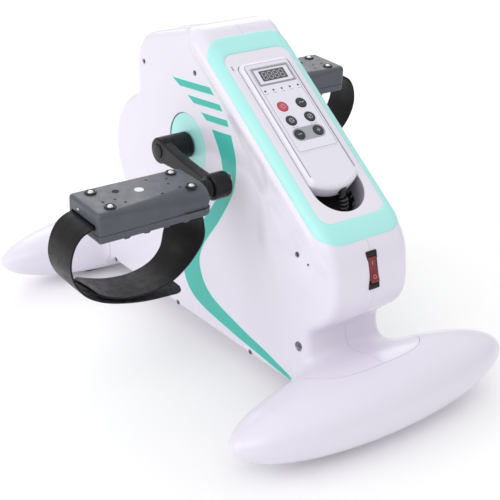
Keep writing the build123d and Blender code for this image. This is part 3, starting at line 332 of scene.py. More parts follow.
def circle(radius, count, centre):
    turn = np.linspace(0, 2 * math.pi, count, endpoint=False)
    return np.stack([centre[0] + radius * np.cos(turn), centre[1] + radius * np.sin(turn)], 1)


def matched(outer, inner, spacing):
    """Two outlines with the same corners, divided alike so that no run is longer than spacing."""
    first, second = [], []
    for a, b, c, d in zip(outer, np.roll(outer, -1, 0), inner, np.roll(inner, -1, 0)):
        count = max(1, int(math.ceil(max(np.linalg.norm(b - a), np.linalg.norm(d - c)) / spacing)))
        first += [a + (b - a) * k / count for k in range(count)]
        second += [c + (d - c) * k / count for k in range(count)]
    return np.array(first), np.array(second)


def dense(loop, spacing):
    return matched(loop, loop, spacing)[0]


def inset(loop, amount):
    """An anticlockwise loop moved inwards, point by point."""
    loop = np.asarray(loop, float)
    turn = unit(loop - np.roll(loop, 1, 0)) + unit(np.roll(loop, -1, 0) - loop)
    normal = np.stack([-turn[:, 1], turn[:, 0]], 1)
    size = np.linalg.norm(normal, axis=1, keepdims=True)
    return loop + unit(normal) * (2 / np.maximum(size, 1.0)) * amount


def ring_faces(rows, count, cap=(False, False)):
    """Quads between rows of count points each, with the ends closed where asked."""
    faces = []
    for k in range(rows - 1):
        for i in range(count):
            j = (i + 1) % count
            faces.append((k * count + i, k * count + j, (k + 1) * count + j, (k + 1) * count + i))
    if cap[0]:
        faces.append(tuple(range(count))[::-1])
    if cap[1]:
        faces.append(tuple((rows - 1) * count + i for i in range(count)))
    return faces


def layers(loop, levels, place, cap=(True, True)):
    """(points, faces) of a solid from one outline: levels are (inset, height), bottom up."""
    points = [place.over(inset(loop, pull), height) for pull, height in levels]
    return np.concatenate(points), ring_faces(len(levels), len(loop), cap)


def stack(name, loop, levels, place, *rest, cap=(True, True)):
    return make(name, *layers(loop, levels, place, cap), *rest)


def band(outer, inner, rows, place, spacing, ground=None):
    """(points, faces) of a frame: rows are (share from outer to inner, height), outside up and over."""
    first, second = matched(outer, inner, spacing)
    points = []
    for share, height in rows:
        flat = first * (1 - share) + second * share
        points.append(place.over(flat, height + (ground(flat) if ground else 0)))
    return np.concatenate(points), ring_faces(len(rows), len(first))


def stroke(points, width):
    """The outline of a line drawn with a pen of that width."""
    p = np.array(points, float)
    run = unit(np.diff(p, axis=0))
    turn = unit(np.concatenate([run[:1], run[:-1] + run[1:], run[-1:]]))
    side = np.stack([-turn[:, 1], turn[:, 0]], 1) * width / 2
    return np.concatenate([p - side, (p + side)[::-1]])


def arc_points(radius, start, end, count, centre=(0.0, 0.0)):
    turn = np.radians(np.linspace(start, end, count))
    return np.stack([centre[0] + radius * np.cos(turn), centre[1] + radius * np.sin(turn)], 1)


def patch(outer, holes, spacing):
    """Triangles filling an outline with holes: (flat points, triangles)."""
    loops = [np.asarray(outer, float)] + [np.asarray(hole, float) for hole in holes]
    points, edges, base = [], [], 0
    for loop in loops:
        points.append(loop)
        edges += [(base + i, base + (i + 1) % len(loop)) for i in range(len(loop))]
        base += len(loop)
    low, high = loops[0].min(0), loops[0].max(0)
    steps = [np.arange(low[k] + spacing / 2, high[k], spacing) for k in (0, 1)]
    grid = np.stack(np.meshgrid(*steps), -1).reshape(-1, 2)
    keep = polygon_distance(grid, loops[0]) < -0.45 * spacing
    for hole in loops[1:]:
        keep &= polygon_distance(grid, hole) > 0.45 * spacing
    points.append(grid[keep])
    filled = delaunay_2d_cdt([Vector(p) for p in np.concatenate(points)], edges, [], 0, 1e-6)
    flat = np.array([tuple(p) for p in filled[0]])
    triangles = np.array([tuple(face) for face in filled[2]])
    middle = flat[triangles].mean(1)
    inside = polygon_distance(middle, loops[0]) < 0
    for hole in loops[1:]:
        inside &= polygon_distance(middle, hole) > 0
    triangles = triangles[inside]
    a, b, c = (flat[triangles[:, k]] for k in range(3))
    turn = (b - a)[:, 0] * (c - a)[:, 1] - (b - a)[:, 1] * (c - a)[:, 0]
    triangles[turn < 0] = triangles[turn < 0][:, ::-1]
    return flat, triangles


def join(name, parts, *rest, **options):
    """One piece from several (points, faces) sets."""
    points, faces, total = [], [], 0
    for part_points, part_faces in parts:
        points.append(np.asarray(part_points, float))
        faces += [[total + i for i in face] for face in part_faces]
        total += len(part_points)
    return make(name, np.concatenate(points), faces, *rest, **options)


def flipped(part):
    """The same (points, faces) seen from inside."""
    return part[0], [face[::-1] for face in part[1]]


def turned(profile, place, count):
    """(points, faces) of a profile of (radius, height) turned about place's normal."""
    angles = np.linspace(0, 2 * math.pi, count, endpoint=False)
    points, rows = [], []
    for radius, height in profile:
        if radius < 1e-6:
            rows.append([len(points)])
            points.append((0.0, 0.0, height))
        else:
            rows.append(list(range(len(points), len(points) + count)))
            points += [(radius * math.cos(t), radius * math.sin(t), height) for t in angles]
    faces = []
    for low, high in zip(rows, rows[1:]):
        for i in range(count):
            j = (i + 1) % count
            if len(low) == 1:
                faces.append((high[i], high[j], low[0]))
            elif len(high) == 1:
                faces.append((low[i], low[j], high[0]))
            else:
                faces.append((low[i], low[j], high[j], high[i]))
    return place.at(np.array(points)), faces


# --- curly cord ---
CORD_ROUTE = [(201.0, -5.0), (207.0, -9.0), (211.0, -17.0), (212.5, -28.0)]
CORD_X, WIRE, CURL = 5.0, 3.0, 4.0
TURNS, TURN_PARTS, TUBE_PARTS = 7, 20, 12
CONSOLE = Frame((0, CONSOLE_Y, CONSOLE_Z), (1, 0, 0), (0, math.cos(SLOPE), math.sin(SLOPE)))


def spline_line(points):
    """Points along a NURBS spline whose control points are given, in millimetres."""
    curve = bpy.data.curves.new("route", "CURVE")
    curve.dimensions = "3D"
    curve.resolution_u = 40
    spline = curve.splines.new("NURBS")
    spline.points.add(len(points) - 1)
    for point, place in zip(spline.points, points):
        point.co = (*(place * MM), 1)
    spline.order_u = 3
    spline.use_endpoint_u = True
    holder = added("route", curve)
    bpy.context.view_layer.update()
    mesh = bpy.data.meshes.new_from_object(holder)
    line = np.array([vertex.co for vertex in mesh.vertices], float) / MM
    bpy.data.objects.remove(holder)
    bpy.data.curves.remove(curve)
    bpy.data.meshes.remove(mesh)
    return line


def travelled(line):
    """How far along the line each of its points lies."""
    return np.concatenate([[0], np.cumsum(np.linalg.norm(np.diff(line, axis=0), axis=1))])


def along(line, shares):
    """Places and directions at shares of the line's length."""
    run = travelled(line)
    at, step = np.array(shares) * run[-1], 0.5

    def place(distance):
        return np.stack([np.interp(distance, run, line[:, k]) for k in range(3)], 1)

    return place(at), unit(place(np.minimum(at + step, run[-1])) - place(np.maximum(at - step, 0)))


def tube(line, radius, parts):
    """(points, faces) of a round tube along a line, with closed ends."""
    way, points = unit(np.gradient(line, axis=0)), []
    side = np.cross(way[0], (1.0, 0.2, 0.1))
    for place, step in zip(line, way):
        side = side - step * (side @ step)
        side /= np.linalg.norm(side)
        other = np.cross(step, side)
        for turn in np.linspace(0, 2 * math.pi, parts, endpoint=False):
            points.append(place + radius * (math.cos(turn) * side + math.sin(turn) * other))
    return np.array(points), ring_faces(len(line), parts, (True, True))


route = spline_line(CONSOLE.at([(CORD_X, -t, h) for t, h in CORD_ROUTE]))
shares = np.linspace(0, 1, TURNS * TURN_PARTS + 1)
places, ways = along(route, shares)
swing = CURL * np.minimum(1, np.minimum(shares, 1 - shares) / 0.07)
first = unit(np.cross(ways, (1.0, 0.0, 0.0)))
second = np.cross(ways, first)
turn = shares * TURNS * 2 * math.pi
helix = places + swing[:, None] * (np.cos(turn)[:, None] * first + np.sin(turn)[:, None] * second)
cord = shaped("curly_cord", *tube(helix, WIRE / 2, TUBE_PARTS), CORD)
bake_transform(cord)
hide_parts("handset_cord")
RELIEF = Frame(route[0], np.cross((1.0, 0.0, 0.0), route[0] - route[1]), (1.0, 0.0, 0.0))
relief_profile = [(0.0, -0.2), (2.6, -0.1), (3.0, 0.4)]
for k in range(4):
    steps = ((3.5, 0.6), (3.9, 1.9), (3.3, 2.1))
    relief_profile += [(radius + 0.5 * k, height + 2.2 * k) for radius, height in steps]
relief_profile += [(5.4, 9.0), (0.0, 9.4)]
make("cord_relief", *turned(relief_profile, RELIEF, 32), CORD, "handset", "cord_plastic", ("strain_relief",))


# --- implicit surfaces ---


def polygon_distance(points, loop):
    """Signed distance to a closed outline, negative inside."""
    best = np.full(len(points), 1e18)
    inside = np.zeros(len(points), bool)
    for a, b in zip(loop, np.roll(loop, -1, 0)):
        run = b - a
        length = run @ run
        if length < 1e-12:
            continue
        away = points - a
        share = np.clip((away @ run) / length, 0, 1)
        best = np.minimum(best, ((away - share[:, None] * run) ** 2).sum(1))
        if run[1] != 0:
            crosses = (a[1] > points[:, 1]) != (b[1] > points[:, 1])
            inside ^= crosses & (points[:, 0] < run[0] * (points[:, 1] - a[1]) / run[1] + a[0])
    return np.where(inside, -1, 1) * np.sqrt(best)


class OutlineField:
    """An outline's signed distance, kept on a grid and read between its points."""

    def __init__(self, loop, low, high, step):
        self.low, self.step = np.array(low, float), step
        self.count = [int((b - a) / step) + 2 for a, b in zip(low, high)]
        steps = [self.low[k] + step * np.arange(self.count[k]) for k in (0, 1)]
        first, second = np.meshgrid(*steps, indexing="ij")
        flat = np.stack([first.ravel(), second.ravel()], 1)
        self.values = polygon_distance(flat, loop).reshape(self.count)

    def __call__(self, a, b):
        u, w = (np.asarray(a) - self.low[0]) / self.step, (np.asarray(b) - self.low[1]) / self.step
        i, j = np.clip(u.astype(int), 0, self.count[0] - 2), np.clip(w.astype(int), 0, self.count[1] - 2)
        s, t, v = u - i, w - j, self.values
        low = v[i, j] * (1 - s) + v[i + 1, j] * s
        return low * (1 - t) + (v[i, j + 1] * (1 - s) + v[i + 1, j + 1] * s) * t


def smooth_min(a, b, width):
    share = np.clip(0.5 + 0.5 * (b - a) / width, 0, 1)
    return b * (1 - share) + a * share - width * share * (1 - share)


def ramp(value, low, high):
    t = np.clip((value - low) / (high - low), 0, 1)
    return t * t * (3 - 2 * t)


def rounded_and(a, b, radius):
    """Where two half spaces overlap, with the edge between them rounded."""
    p, q = a + radius, b + radius
    outside = np.sqrt(np.maximum(p, 0) ** 2 + np.maximum(q, 0) ** 2)
    return np.minimum(np.maximum(p, q), 0) + outside - radius


def surface_nets(shape, low, high, step):
    """A quad mesh of the surface where shape is zero."""
    axes = [np.arange(a, b + step * 0.5, step) for a, b in zip(low, high)]
    values = shape(*np.meshgrid(*axes, indexing="ij")).astype(np.float32)
    size, inside = values.shape, values < 0
    filled = np.zeros([n - 1 for n in size], np.int8)
    corners = [(i, j, k) for i in (0, 1) for j in (0, 1) for k in (0, 1)]
    for i, j, k in corners:
        filled += inside[i : size[0] - 1 + i, j : size[1] - 1 + j, k : size[2] - 1 + k]
    active = (filled > 0) & (filled < 8)
    index = np.full(active.shape, -1, np.int64)
    index[active] = np.arange(active.sum())
    cells = np.argwhere(active)
    total, hits = np.zeros((len(cells), 3)), np.zeros(len(cells))
    for start in corners:
        for axis in [k for k in range(3) if not start[k]]:
            end = np.array(start)
            end[axis] = 1
            one, two = values[tuple((cells + start).T)], values[tuple((cells + end).T)]
            crossed = (one < 0) != (two < 0)
            share = np.where(crossed, one / np.where(crossed, one - two, 1), 0)
            total += (np.array(start) + share[:, None] * (end - start)) * crossed[:, None]
            hits += crossed
    points = (cells + total / hits[:, None]) * step + np.array(low)
    quads = []
    for axis in range(3):
        near, far = [slice(None)] * 3, [slice(None)] * 3
        near[axis], far[axis] = slice(0, -1), slice(1, None)
        first = inside[tuple(near)]
        edges = np.argwhere(first != inside[tuple(far)])
        u, v = [k for k in range(3) if k != axis]
        for k in (u, v):
            edges = edges[(edges[:, k] > 0) & (edges[:, k] < size[k] - 1)]
        ring = []
        for du, dv in ((1, 1), (0, 1), (0, 0), (1, 0)):
            cell = edges.copy()
            cell[:, u] -= du
            cell[:, v] -= dv
            ring.append(index[tuple(cell.T)])
        ring = np.stack(ring, 1)
        forward = first[tuple(edges.T)] != (axis == 1)
        ring[~forward] = ring[~forward][:, ::-1]
        quads.append(ring)
    return points, np.concatenate(quads)


def slope_of(shape, points, step=0.6):
    """The shape's gradient at each point."""
    out = []
    for axis in range(3):
        shift = step * (np.arange(3) == axis)
        out.append(shape(*(points + shift).T) - shape(*(points - shift).T))
    return np.stack(out, 1) / (2 * step)


def settle(shape, points, times=3):
    """Moves points onto the surface along its gradient."""
    for _ in range(times):
        slope = slope_of(shape, points)
        points = points - slope * (shape(*points.T) / np.maximum((slope**2).sum(1), 0.05))[:, None]
    return points


def clip(points, triangles, field):
    """The part of a triangle mesh where field is above zero, with new points on the cut."""
    value = field(points)
    value = np.where(np.abs(value) < 1e-6, 1e-6, value)
    up = value > 0
    count = up[triangles].sum(1)
    extra, made, new_points = [], {}, []

    def crossing(a, b):
        key = (min(a, b), max(a, b))
        if key not in made:
            p, q = points[a], points[b]
            fp, fq = value[a], value[b]
            at = p + (q - p) * fp / (fp - fq)
            for _ in range(3):
                f = float(field(at[None])[0])
                if abs(f) < 1e-3:
                    break
                if (f > 0) == (fp > 0):
                    p, fp = at, f
                else:
                    q, fq = at, f
                at = p + (q - p) * fp / (fp - fq)
            made[key] = len(points) + len(new_points)
            new_points.append(at)
        return made[key]

    for tri in triangles[(count == 1) | (count == 2)]:
        sides = up[tri]
        lone = int(np.argmax(sides)) if sides.sum() == 1 else int(np.argmin(sides))
        a, b, c = (int(tri[(lone + k) % 3]) for k in range(3))
        ab, ac = crossing(a, b), crossing(a, c)
        if sides.sum() == 1:
            extra.append((a, ab, ac))
        else:
            extra.append((ab, b, c))
            extra.append((ab, c, ac))
    points = np.concatenate([points, np.array(new_points).reshape(-1, 3)])
    triangles = np.concatenate([triangles[count == 3], np.array(extra, int).reshape(-1, 3)])
    used = np.unique(triangles)
    renumber = np.full(len(points), -1)
    renumber[used] = np.arange(len(used))
    return points[used], renumber[triangles]


def rim_lip(points, triangles, normals, depth):
    """A strip that turns in from the mesh's open edges, so that a seam has thickness."""
    raw = np.concatenate([triangles[:, pair] for pair in ([0, 1], [1, 2], [2, 0])])
    _, first, count = np.unique(np.sort(raw, 1), axis=0, return_index=True, return_counts=True)
    open_edges = raw[first[count == 1]]
    used = np.unique(open_edges)
    place = {int(p): k for k, p in enumerate(used)}
    outer, inner = points[used], points[used] - normals[used] * depth
    strip = [
        (place[int(b)], place[int(a)], place[int(a)] + len(used), place[int(b)] + len(used))
        for a, b in open_edges
    ]
    return np.concatenate([outer, inner]), strip


# --- body and feet ---

CLIMB = math.tan(SLOPE)
BULGE, BULGE_RADIUS, SPINE = np.array([110.5, 210.9]), 82.6, 133.3
WAIST = (151.8, 139.4)


def side_loop():
    """The body's outline from the side, (y, z), as in the CAD model."""
    bulge_top = BULGE[1] + math.sqrt(BULGE_RADIUS**2 - (SPINE - BULGE[0]) ** 2)
    brow = CONSOLE_Z + (-249 - CONSOLE_Y) * CLIMB
    corners = [(-207, 30.4), (-207, 106), (-249, 142), (-249, brow), (3, 398.2), (SPINE, 364)]
    radii = [0, 14, 44, 80, 30, 46]
    first = np.array([SPINE, bulge_top]) - BULGE
    last = np.array(WAIST) - BULGE
    angles = np.linspace(math.atan2(first[1], first[0]), math.atan2(last[1], last[0]), 24)
    corners.append((SPINE, bulge_top))
    radii.append(14)
    for angle in angles[1:-1]:
        corners.append(tuple(BULGE + BULGE_RADIUS * np.array([math.cos(angle), math.sin(angle)])))
        radii.append(0)
    corners += [WAIST, (160, 101), (215, 80), (262, 74), (262, 30.4)]
    radii += [12, 16, 40, 0, 0]
    return rounded(corners, radii, 12)


SIDE = OutlineField(side_loop(), (-340, -20), (340, 420), 1.0)

# The column's half width behind its crease and at its front, and what it loses below the waist.
NARROW, WIDE, PINCH = 50.5, 62.0, 10.0
CREASE_Z, CREASE_Y = [51, 106, 178, 230, 300], [-116, -108, -99, -93, -80]
# How far under the console's plane the body starts and ends flaring out to its ring.
FLARE_START, FLARE_END = -52, -12
PLATE_EDGE, COLUMN_BLEND, FRONT_BLEND, REAR_BLEND = 9.0, 5.0, 34.0, 14.0


def body_shape(x, y, z):
    """The flat plate body with the wider, softer column under the console."""
    outline, half = SIDE(y, z), np.abs(x)
    plate = rounded_and(outline, half - PLATE, PLATE_EDGE)
    crease = np.interp(z, CREASE_Z, CREASE_Y)
    wide = WIDE - PINCH * (1 - ramp(z, 104, 200))
    reach = NARROW + (wide - NARROW) * (1 - ramp(y, crease - 58, crease))
    depth = z - (CONSOLE_Z + (y - CONSOLE_Y) * CLIMB)
    reach = np.maximum(reach, NARROW + (WIDE - NARROW) * ramp(depth, FLARE_START, FLARE_END))
    corner = 24 + 28 * ramp(z, 100, 160)
    corner = corner + (22 - corner) * ramp(depth, FLARE_START + 2, FLARE_END)
    column = rounded_and(outline, half - reach, corner)
    return smooth_min(plate, column, COLUMN_BLEND)


def foot_shape(x, y, z, centre, depth):
    """A long egg, as a distance good enough to settle points on."""
    u, v, w = x / FOOT_SPAN, (y - centre) / depth, (z - FOOT_Z) / FOOT_HEIGHT
    size = np.sqrt(u * u + v * v + w * w) + 1e-9
    steep = np.sqrt((u / FOOT_SPAN) ** 2 + (v / depth) ** 2 + (w / FOOT_HEIGHT) ** 2) + 1e-12
    return size * (size - 1) / steep


def machine_shape(x, y, z):
    body = body_shape(x, y, z)
    front = smooth_min(body, foot_shape(x, y, z, *FRONT_FOOT), FRONT_BLEND)
    rear = smooth_min(body, foot_shape(x, y, z, *REAR_FOOT), REAR_BLEND)
    return np.minimum(front, rear)


SWITCH_LEAN = math.radians(12.0)
SWITCH = Frame((0, -246.0, 185.6), (1, 0, 0), (0, math.sin(SWITCH_LEAN), math.cos(SWITCH_LEAN)))
# The inlet sits on the straight of the back between these two corners.
STRAIGHT_TOP, STRAIGHT_END = np.array(WAIST), np.array([160.0, 101.0])
INLET = Frame((0, *((STRAIGHT_TOP + STRAIGHT_END) / 2)), (-1, 0, 0), (0, *(STRAIGHT_TOP - STRAIGHT_END)))


def box_distance(a, b, half_a, half_b, corner):
    return rounded_and(np.abs(a) - half_a, np.abs(b) - half_b, corner)


# Half the gap at a seam, and how far the skin turns in there.
SEAM, SKIN_LIP = 0.15, 2.4
DISC_HOLE, CUT_REACH = 37.7, 12
BODY_GRID, PEDAL_GRID = 2.6, 1.7


def console_hole(points):
    a, b, h = CONSOLE.local(points)
    return np.maximum(box_distance(a, b + 120, 50, 123, 18), -h - 30)


def slot_hole(place, half_a, half_b, corner):
    """The field of a straight hole through the skin."""

    def field(points):
        a, b, h = place.local(points)
        return np.maximum(box_distance(a, b, half_a, half_b, corner), np.abs(h) - CUT_REACH)

    return field


def disc_hole(points):
    radius = np.hypot(points[:, 1] - CRANK[0], points[:, 2] - CRANK[1])
    return np.maximum(radius - DISC_HOLE, 40 - points[:, 0])


# The recesses in the body's left side: y, z and radius.
SIDE_SCREWS = [(114.7, 334.0, 3.2), (5.2, 345.7, 3.2), (-62.7, 243.5, 3.2)]
SIDE_SCREWS += [(y, 36.4, 3.2) for y in (205.2, 50.5, -103.3)]
SIDE_SCREWS += [(-195.5, 200.0, 3.2), (-211.0, 193.5, 1.6), (-193.0, 86.0, 5.8)]


def screw_holes(points):
    """Distance to the nearest screw's recess in the side wall."""
    out = np.full(len(points), 99.0)
    for y, z, radius in SIDE_SCREWS:
        out = np.minimum(out, np.hypot(points[:, 1] - y, points[:, 2] - z) - radius)
    return np.maximum(out, 30 - points[:, 0])


# The shell's flare on the front foot, and its tongue on the rear one.
FLARE_Y, FLARE_HALVES, FLARE_BACK, FLARE_FOOT = -207, (84, 64.5), -186, 29.6
TONGUE_HALF, TONGUE_START, TONGUE_END = 54.0, 180, 227


def front_seam(points):
    """Above zero on the front foot's own cover, below it on the shell's flare."""
    x, y, z = points.T
    flare = (np.abs(x / FLARE_HALVES[0]) ** 3 + np.abs((y - FLARE_Y) / FLARE_HALVES[1]) ** 3) ** (1 / 3) - 1
    return np.minimum(np.maximum(flare * 60, FLARE_FOOT - z), FLARE_BACK - y)


def rear_seam(points):
    """Above zero on the rear foot's own cover, below it on the shell's tongue."""
    x, y, z = points.T
    return np.maximum(np.minimum(np.abs(x) - TONGUE_HALF, y - TONGUE_START), y - TONGUE_END)


def meshed(shape, low, high, step, times=3):
    """(points, triangles) of a shape's surface."""
    points, quads = surface_nets(shape, low, high, step)
    return settle(shape, points, times), np.concatenate([quads[:, [0, 1, 2]], quads[:, [0, 2, 3]]])


def cut(mesh, *fields):
    """What is left of (points, triangles) where every field is above zero."""
    for field in fields:
        mesh = clip(*mesh, field)
    return mesh


whole_body = meshed(machine_shape, (-6, -324, -4), (198, 324, 404), BODY_GRID)
half_body = cut(whole_body, lambda p: p[:, 0] - SEAM)
front_foot = cut(half_body, lambda p: front_seam(p) - SEAM)
shell = cut(half_body, lambda p: -front_seam(p) - SEAM)
rear_foot = cut(shell, lambda p: rear_seam(p) - SEAM)
switch_hole, inlet_hole = slot_hole(SWITCH, 6.2, 19.6, 0.5), slot_hole(INLET, 11, 7, 1)
shell = cut(shell, lambda p: -rear_seam(p) - SEAM, console_hole, switch_hole, inlet_hole, disc_hole)


def strip_normals(points, faces):
    faces = np.array(faces)
    first, second, _, last = (points[faces[:, k]] for k in range(4))
    flat = np.cross(second - first, last - first)
    out = np.zeros_like(points)
    for k in range(4):
        np.add.at(out, faces[:, k], flat)
    return unit(out)


def lipped(points, triangles, normal, lip, down=None):
    """A clipped surface with its open edges turned in: (points, normals, faces)."""
    strip_points, strip = rim_lip(points, triangles, normal if down is None else down, lip)
    faces = [[int(i) for i in face] for face in triangles]
    faces += [[len(points) + i for i in face] for face in strip]
    return (
        np.concatenate([points, strip_points]),
        np.concatenate([normal, strip_normals(strip_points, strip)]),
        faces,
    )


def skinned(name, points, triangles, sides, replaced):
    """Turns clipped triangles into a piece with turned-in seams, mirrored where asked."""
    whole, normal, faces = lipped(points, triangles, unit(slope_of(machine_shape, points, 2.0)), SKIN_LIP)
    flips = [np.array([side, 1.0, 1.0]) for side in sides]
    make(
        name,
        np.concatenate([whole * flip for flip in flips]),
        [[k * len(whole) + i for i in face][::side] for k, side in enumerate(sides) for face in faces],
        WHITE, "base", "white_plastic", replaced, normals=np.concatenate([normal * flip for flip in flips]),
    )


skinned("left_shell_skin", *cut(shell, screw_holes), (-1,), ("left_shell",))
skinned("right_shell_skin", *shell, (1,), ("right_shell",))
for word, (points, triangles) in (("front", front_foot), ("rear", rear_foot)):
    centred = points.copy()
    centred[np.abs(centred[:, 0]) < 0.5, 0] = 0.0
    skinned(f"{word}_foot_skin", centred, triangles, (1, -1), (f"{word}_foot_cover", f"{word}_foot_base"))

# --- console ring, tray and recess ---

# How often a height is corrected by the distance that is left to the skin.
SETTLINGS = 30
FACE_FLAT, FACE_ROUND = 40, 22


def console_ground(flat):
    """How high the console's face lies over its plane: level across, then rounded off to the sides."""
    level, middle = np.full(len(flat), 3.0), np.zeros(len(flat))
    for _ in range(SETTLINGS):
        level -= machine_shape(*CONSOLE.over(np.column_stack([middle, flat[:, 1]]), level).T)
    past = np.clip(np.abs(flat[:, 0]) - FACE_FLAT, 0, FACE_ROUND - 1)
    return level - (FACE_ROUND - np.sqrt(FACE_ROUND**2 - past**2))


def console_normals(flat):
    """The directions in which the console's face looks."""
    step = 1.0
    rise = [
        (console_ground(flat + shift) - console_ground(flat - shift)) / (2 * step)
        for shift in (np.array([step, 0.0]), np.array([0.0, step]))
    ]
    return unit(CONSOLE.n - rise[0][:, None] * CONSOLE.a - rise[1][:, None] * CONSOLE.b)


RING_OUTER = box_loop(56.0, -256.0, 22.0, 24.0)
TRAY_EDGE = box_loop(44.6, -231.0, -2.0, 14.0)
RING_ROWS = [(0.0, -9.0), (0.0, 0.1), (0.012, 0.45), (0.045, 0.7)]
RING_ROWS += [(share, 0.75) for share in (0.2, 0.35, 0.5, 0.65, 0.8)]
RING_ROWS += [(0.955, 0.7), (0.988, 0.45), (1.0, 0.1), (1.0, -2.0)]
make(
    "console_frame", *band(RING_OUTER, TRAY_EDGE, RING_ROWS, CONSOLE, 4.0, console_ground),
    MINT, "base", "mint_plastic", ("console_ring",), weigh=False,
)

HOLE_HALF, HOLE_TOP, HOLE_RADIUS, HOLE_CENTRE = 33.2, -19.5, 33.2, -189.3
CLEARANCE, TRAY_LIP = 0.5, 2.2
RECESS_START, DOCK_FLOOR, RECESS_FLOOR = -176.0, -10.4, -40.0


def hole_loop():
    """The handset's dock together with the finger recess below it."""
    end = arc_points(HOLE_RADIUS + CLEARANCE, 180, 360, 25, (0.0, HOLE_CENTRE))
    half, top = HOLE_HALF + CLEARANCE, HOLE_TOP + CLEARANCE
    head = rounded([(half, HOLE_CENTRE), (half, top), (-half, top), (-half, HOLE_CENTRE)], [0, 6.5, 6.5, 0])
    return dense(np.concatenate([end, head[1:-1]]), 3.0)


edge, notch = hole_loop(), stroke([(-38.6, -18), (-38.6, -24)], 1.8)
flat, triangles = patch(dense(inset(TRAY_EDGE, 0.12), 4.0), [edge, notch], 4.0)
tray_points, down = CONSOLE.over(flat, console_ground(flat)), np.tile(CONSOLE.n, (len(flat), 1))
whole, normal, faces = lipped(tray_points, triangles, console_normals(flat), TRAY_LIP, down)
make("console_tray", whole, faces, TRAY_WHITE, "base", "white_plastic", ("console_cradle",), normals=normal)

# The recess's wall: rounded over at the top, then straight down to its floor.
ground = console_ground(edge)
wall = [(pull, ground - drop) for pull, drop in ((0.0, 0.0), (0.25, 0.06), (0.43, 0.25), (0.5, 0.55))]
wall += [(0.5, depth) for depth in (DOCK_FLOOR, -16.0, -22.0, -28.0, -34.0, RECESS_FLOOR)]
wall_points, wall_faces = layers(edge, wall, CONSOLE, (False, False))
wall_faces = [(a, d, c, b) for a, b, c, d in wall_faces]
wall_faces.append(tuple(range(len(wall_points) - len(edge), len(wall_points))))
recess = make("console_recess", wall_points, wall_faces, TRAY_WHITE, "base", "white_plastic", weigh=False)
# Painted shade: the white wall is painted lilac grey below the rim and near-black near the floor, where shade
# falls in the recess.
for material, depth in ((WALL_SHADE, -3.0), (SHADOW, -25.0)):
    recess.data.materials.append(material)
    for polygon in recess.data.polygons:
        if CONSOLE.local(np.array(polygon.center) / MM)[2] < depth:
            polygon.material_index = len(recess.data.materials) - 1
# The dock block is painted lilac grey: painted shade at the bottom of the recess.
stack(
    "console_dock", box_loop(HOLE_HALF - 0.1, RECESS_START, HOLE_TOP - 0.1, 6.0),
    [(0.0, RECESS_FLOOR + 0.2), (0.0, DOCK_FLOOR - 0.8), (0.8, DOCK_FLOOR)],
    CONSOLE, WALL_SHADE, "base", "white_plastic",
)

# --- handset ---

END_ARC, END_CENTRE = 50.55, -145.45


def handset_loop():
    """Straight sides and a lower end that bows out."""
    across_end = np.arange(-24.0, 24.1, 4.0)
    corners = [(-32.7, -184.0)]
    corners += [(x, END_CENTRE - math.sqrt(END_ARC**2 - x * x)) for x in across_end]
    corners += [(32.7, -184.0), (32.7, -20.0), (-32.7, -20.0)]
    return rounded(corners, [8] + [0] * len(across_end) + [8, 6, 6], 8)


# Each key's place: across the console and down from its top.
KEY_COLUMNS, KEY_HOLE = (-12.7, 12.7), 6.95
KEY_ROWS = {85.6: ("power", "program"), 105.0: ("time", "mode"), 123.8: ("slower", "faster")}
KEYS = {f"key_{word}": (x, t) for t, words in KEY_ROWS.items() for x, word in zip(KEY_COLUMNS, words)}
FACE, FILM_TOP, SHOULDER = 8.5, 8.9, 5.2
handset_outline = handset_loop()
shoulder = [(0.35, -0.5), (0.0, -0.1), (0.0, 1.8)]
for k in range(1, 11):
    angle = math.pi / 20 * k
    shoulder.append((SHOULDER * (1 - math.cos(angle)), 1.8 + 6.7 * math.sin(angle)))
front_part = layers(handset_outline, shoulder, CONSOLE, (False, False))
key_holes = [circle(KEY_HOLE, 40, (x, -t)) for x, t in KEYS.values()]
flat, triangles = patch(inset(handset_outline, SHOULDER), key_holes, 5.0)
key_walls = [flipped(layers(hole, [(0, 2.0), (0, FACE)], CONSOLE, (True, False))) for hole in key_holes]
join(
    "handset_front_case", [front_part, (CONSOLE.over(flat, FACE), triangles)] + key_walls,
    HANDSET_WHITE, "handset", "handset_plastic", ("handset_front",), sharp=50.0,
)
stack(
    "handset_back_case", handset_outline,
    [(2.2, -10.0), (1.2, -9.75), (0.4, -9.1), (0.0, -8.0), (0.0, -1.0), (0.35, -0.5)],
    CONSOLE, HANDSET_WHITE, "handset", "handset_plastic", ("handset_back",), cap=(True, False),
)


def printed(name, loops, low, high, *rest, place=CONSOLE):
    """Thin raised print: every outline as a low solid."""
    return join(name, [layers(loop, [(0, low), (0, high)], place, (False, True)) for loop in loops], *rest)


def frame_line(half, low, high, radius, width, bottom, top):
    """(points, faces) of a thin printed frame."""
    outer = box_loop(half, low, high, radius)
    inner = box_loop(half - width, low + width, high - width, radius * 0.6)
    return band(outer, inner, [(0, bottom), (0, top), (1, top), (1, bottom)], CONSOLE, 40.0)


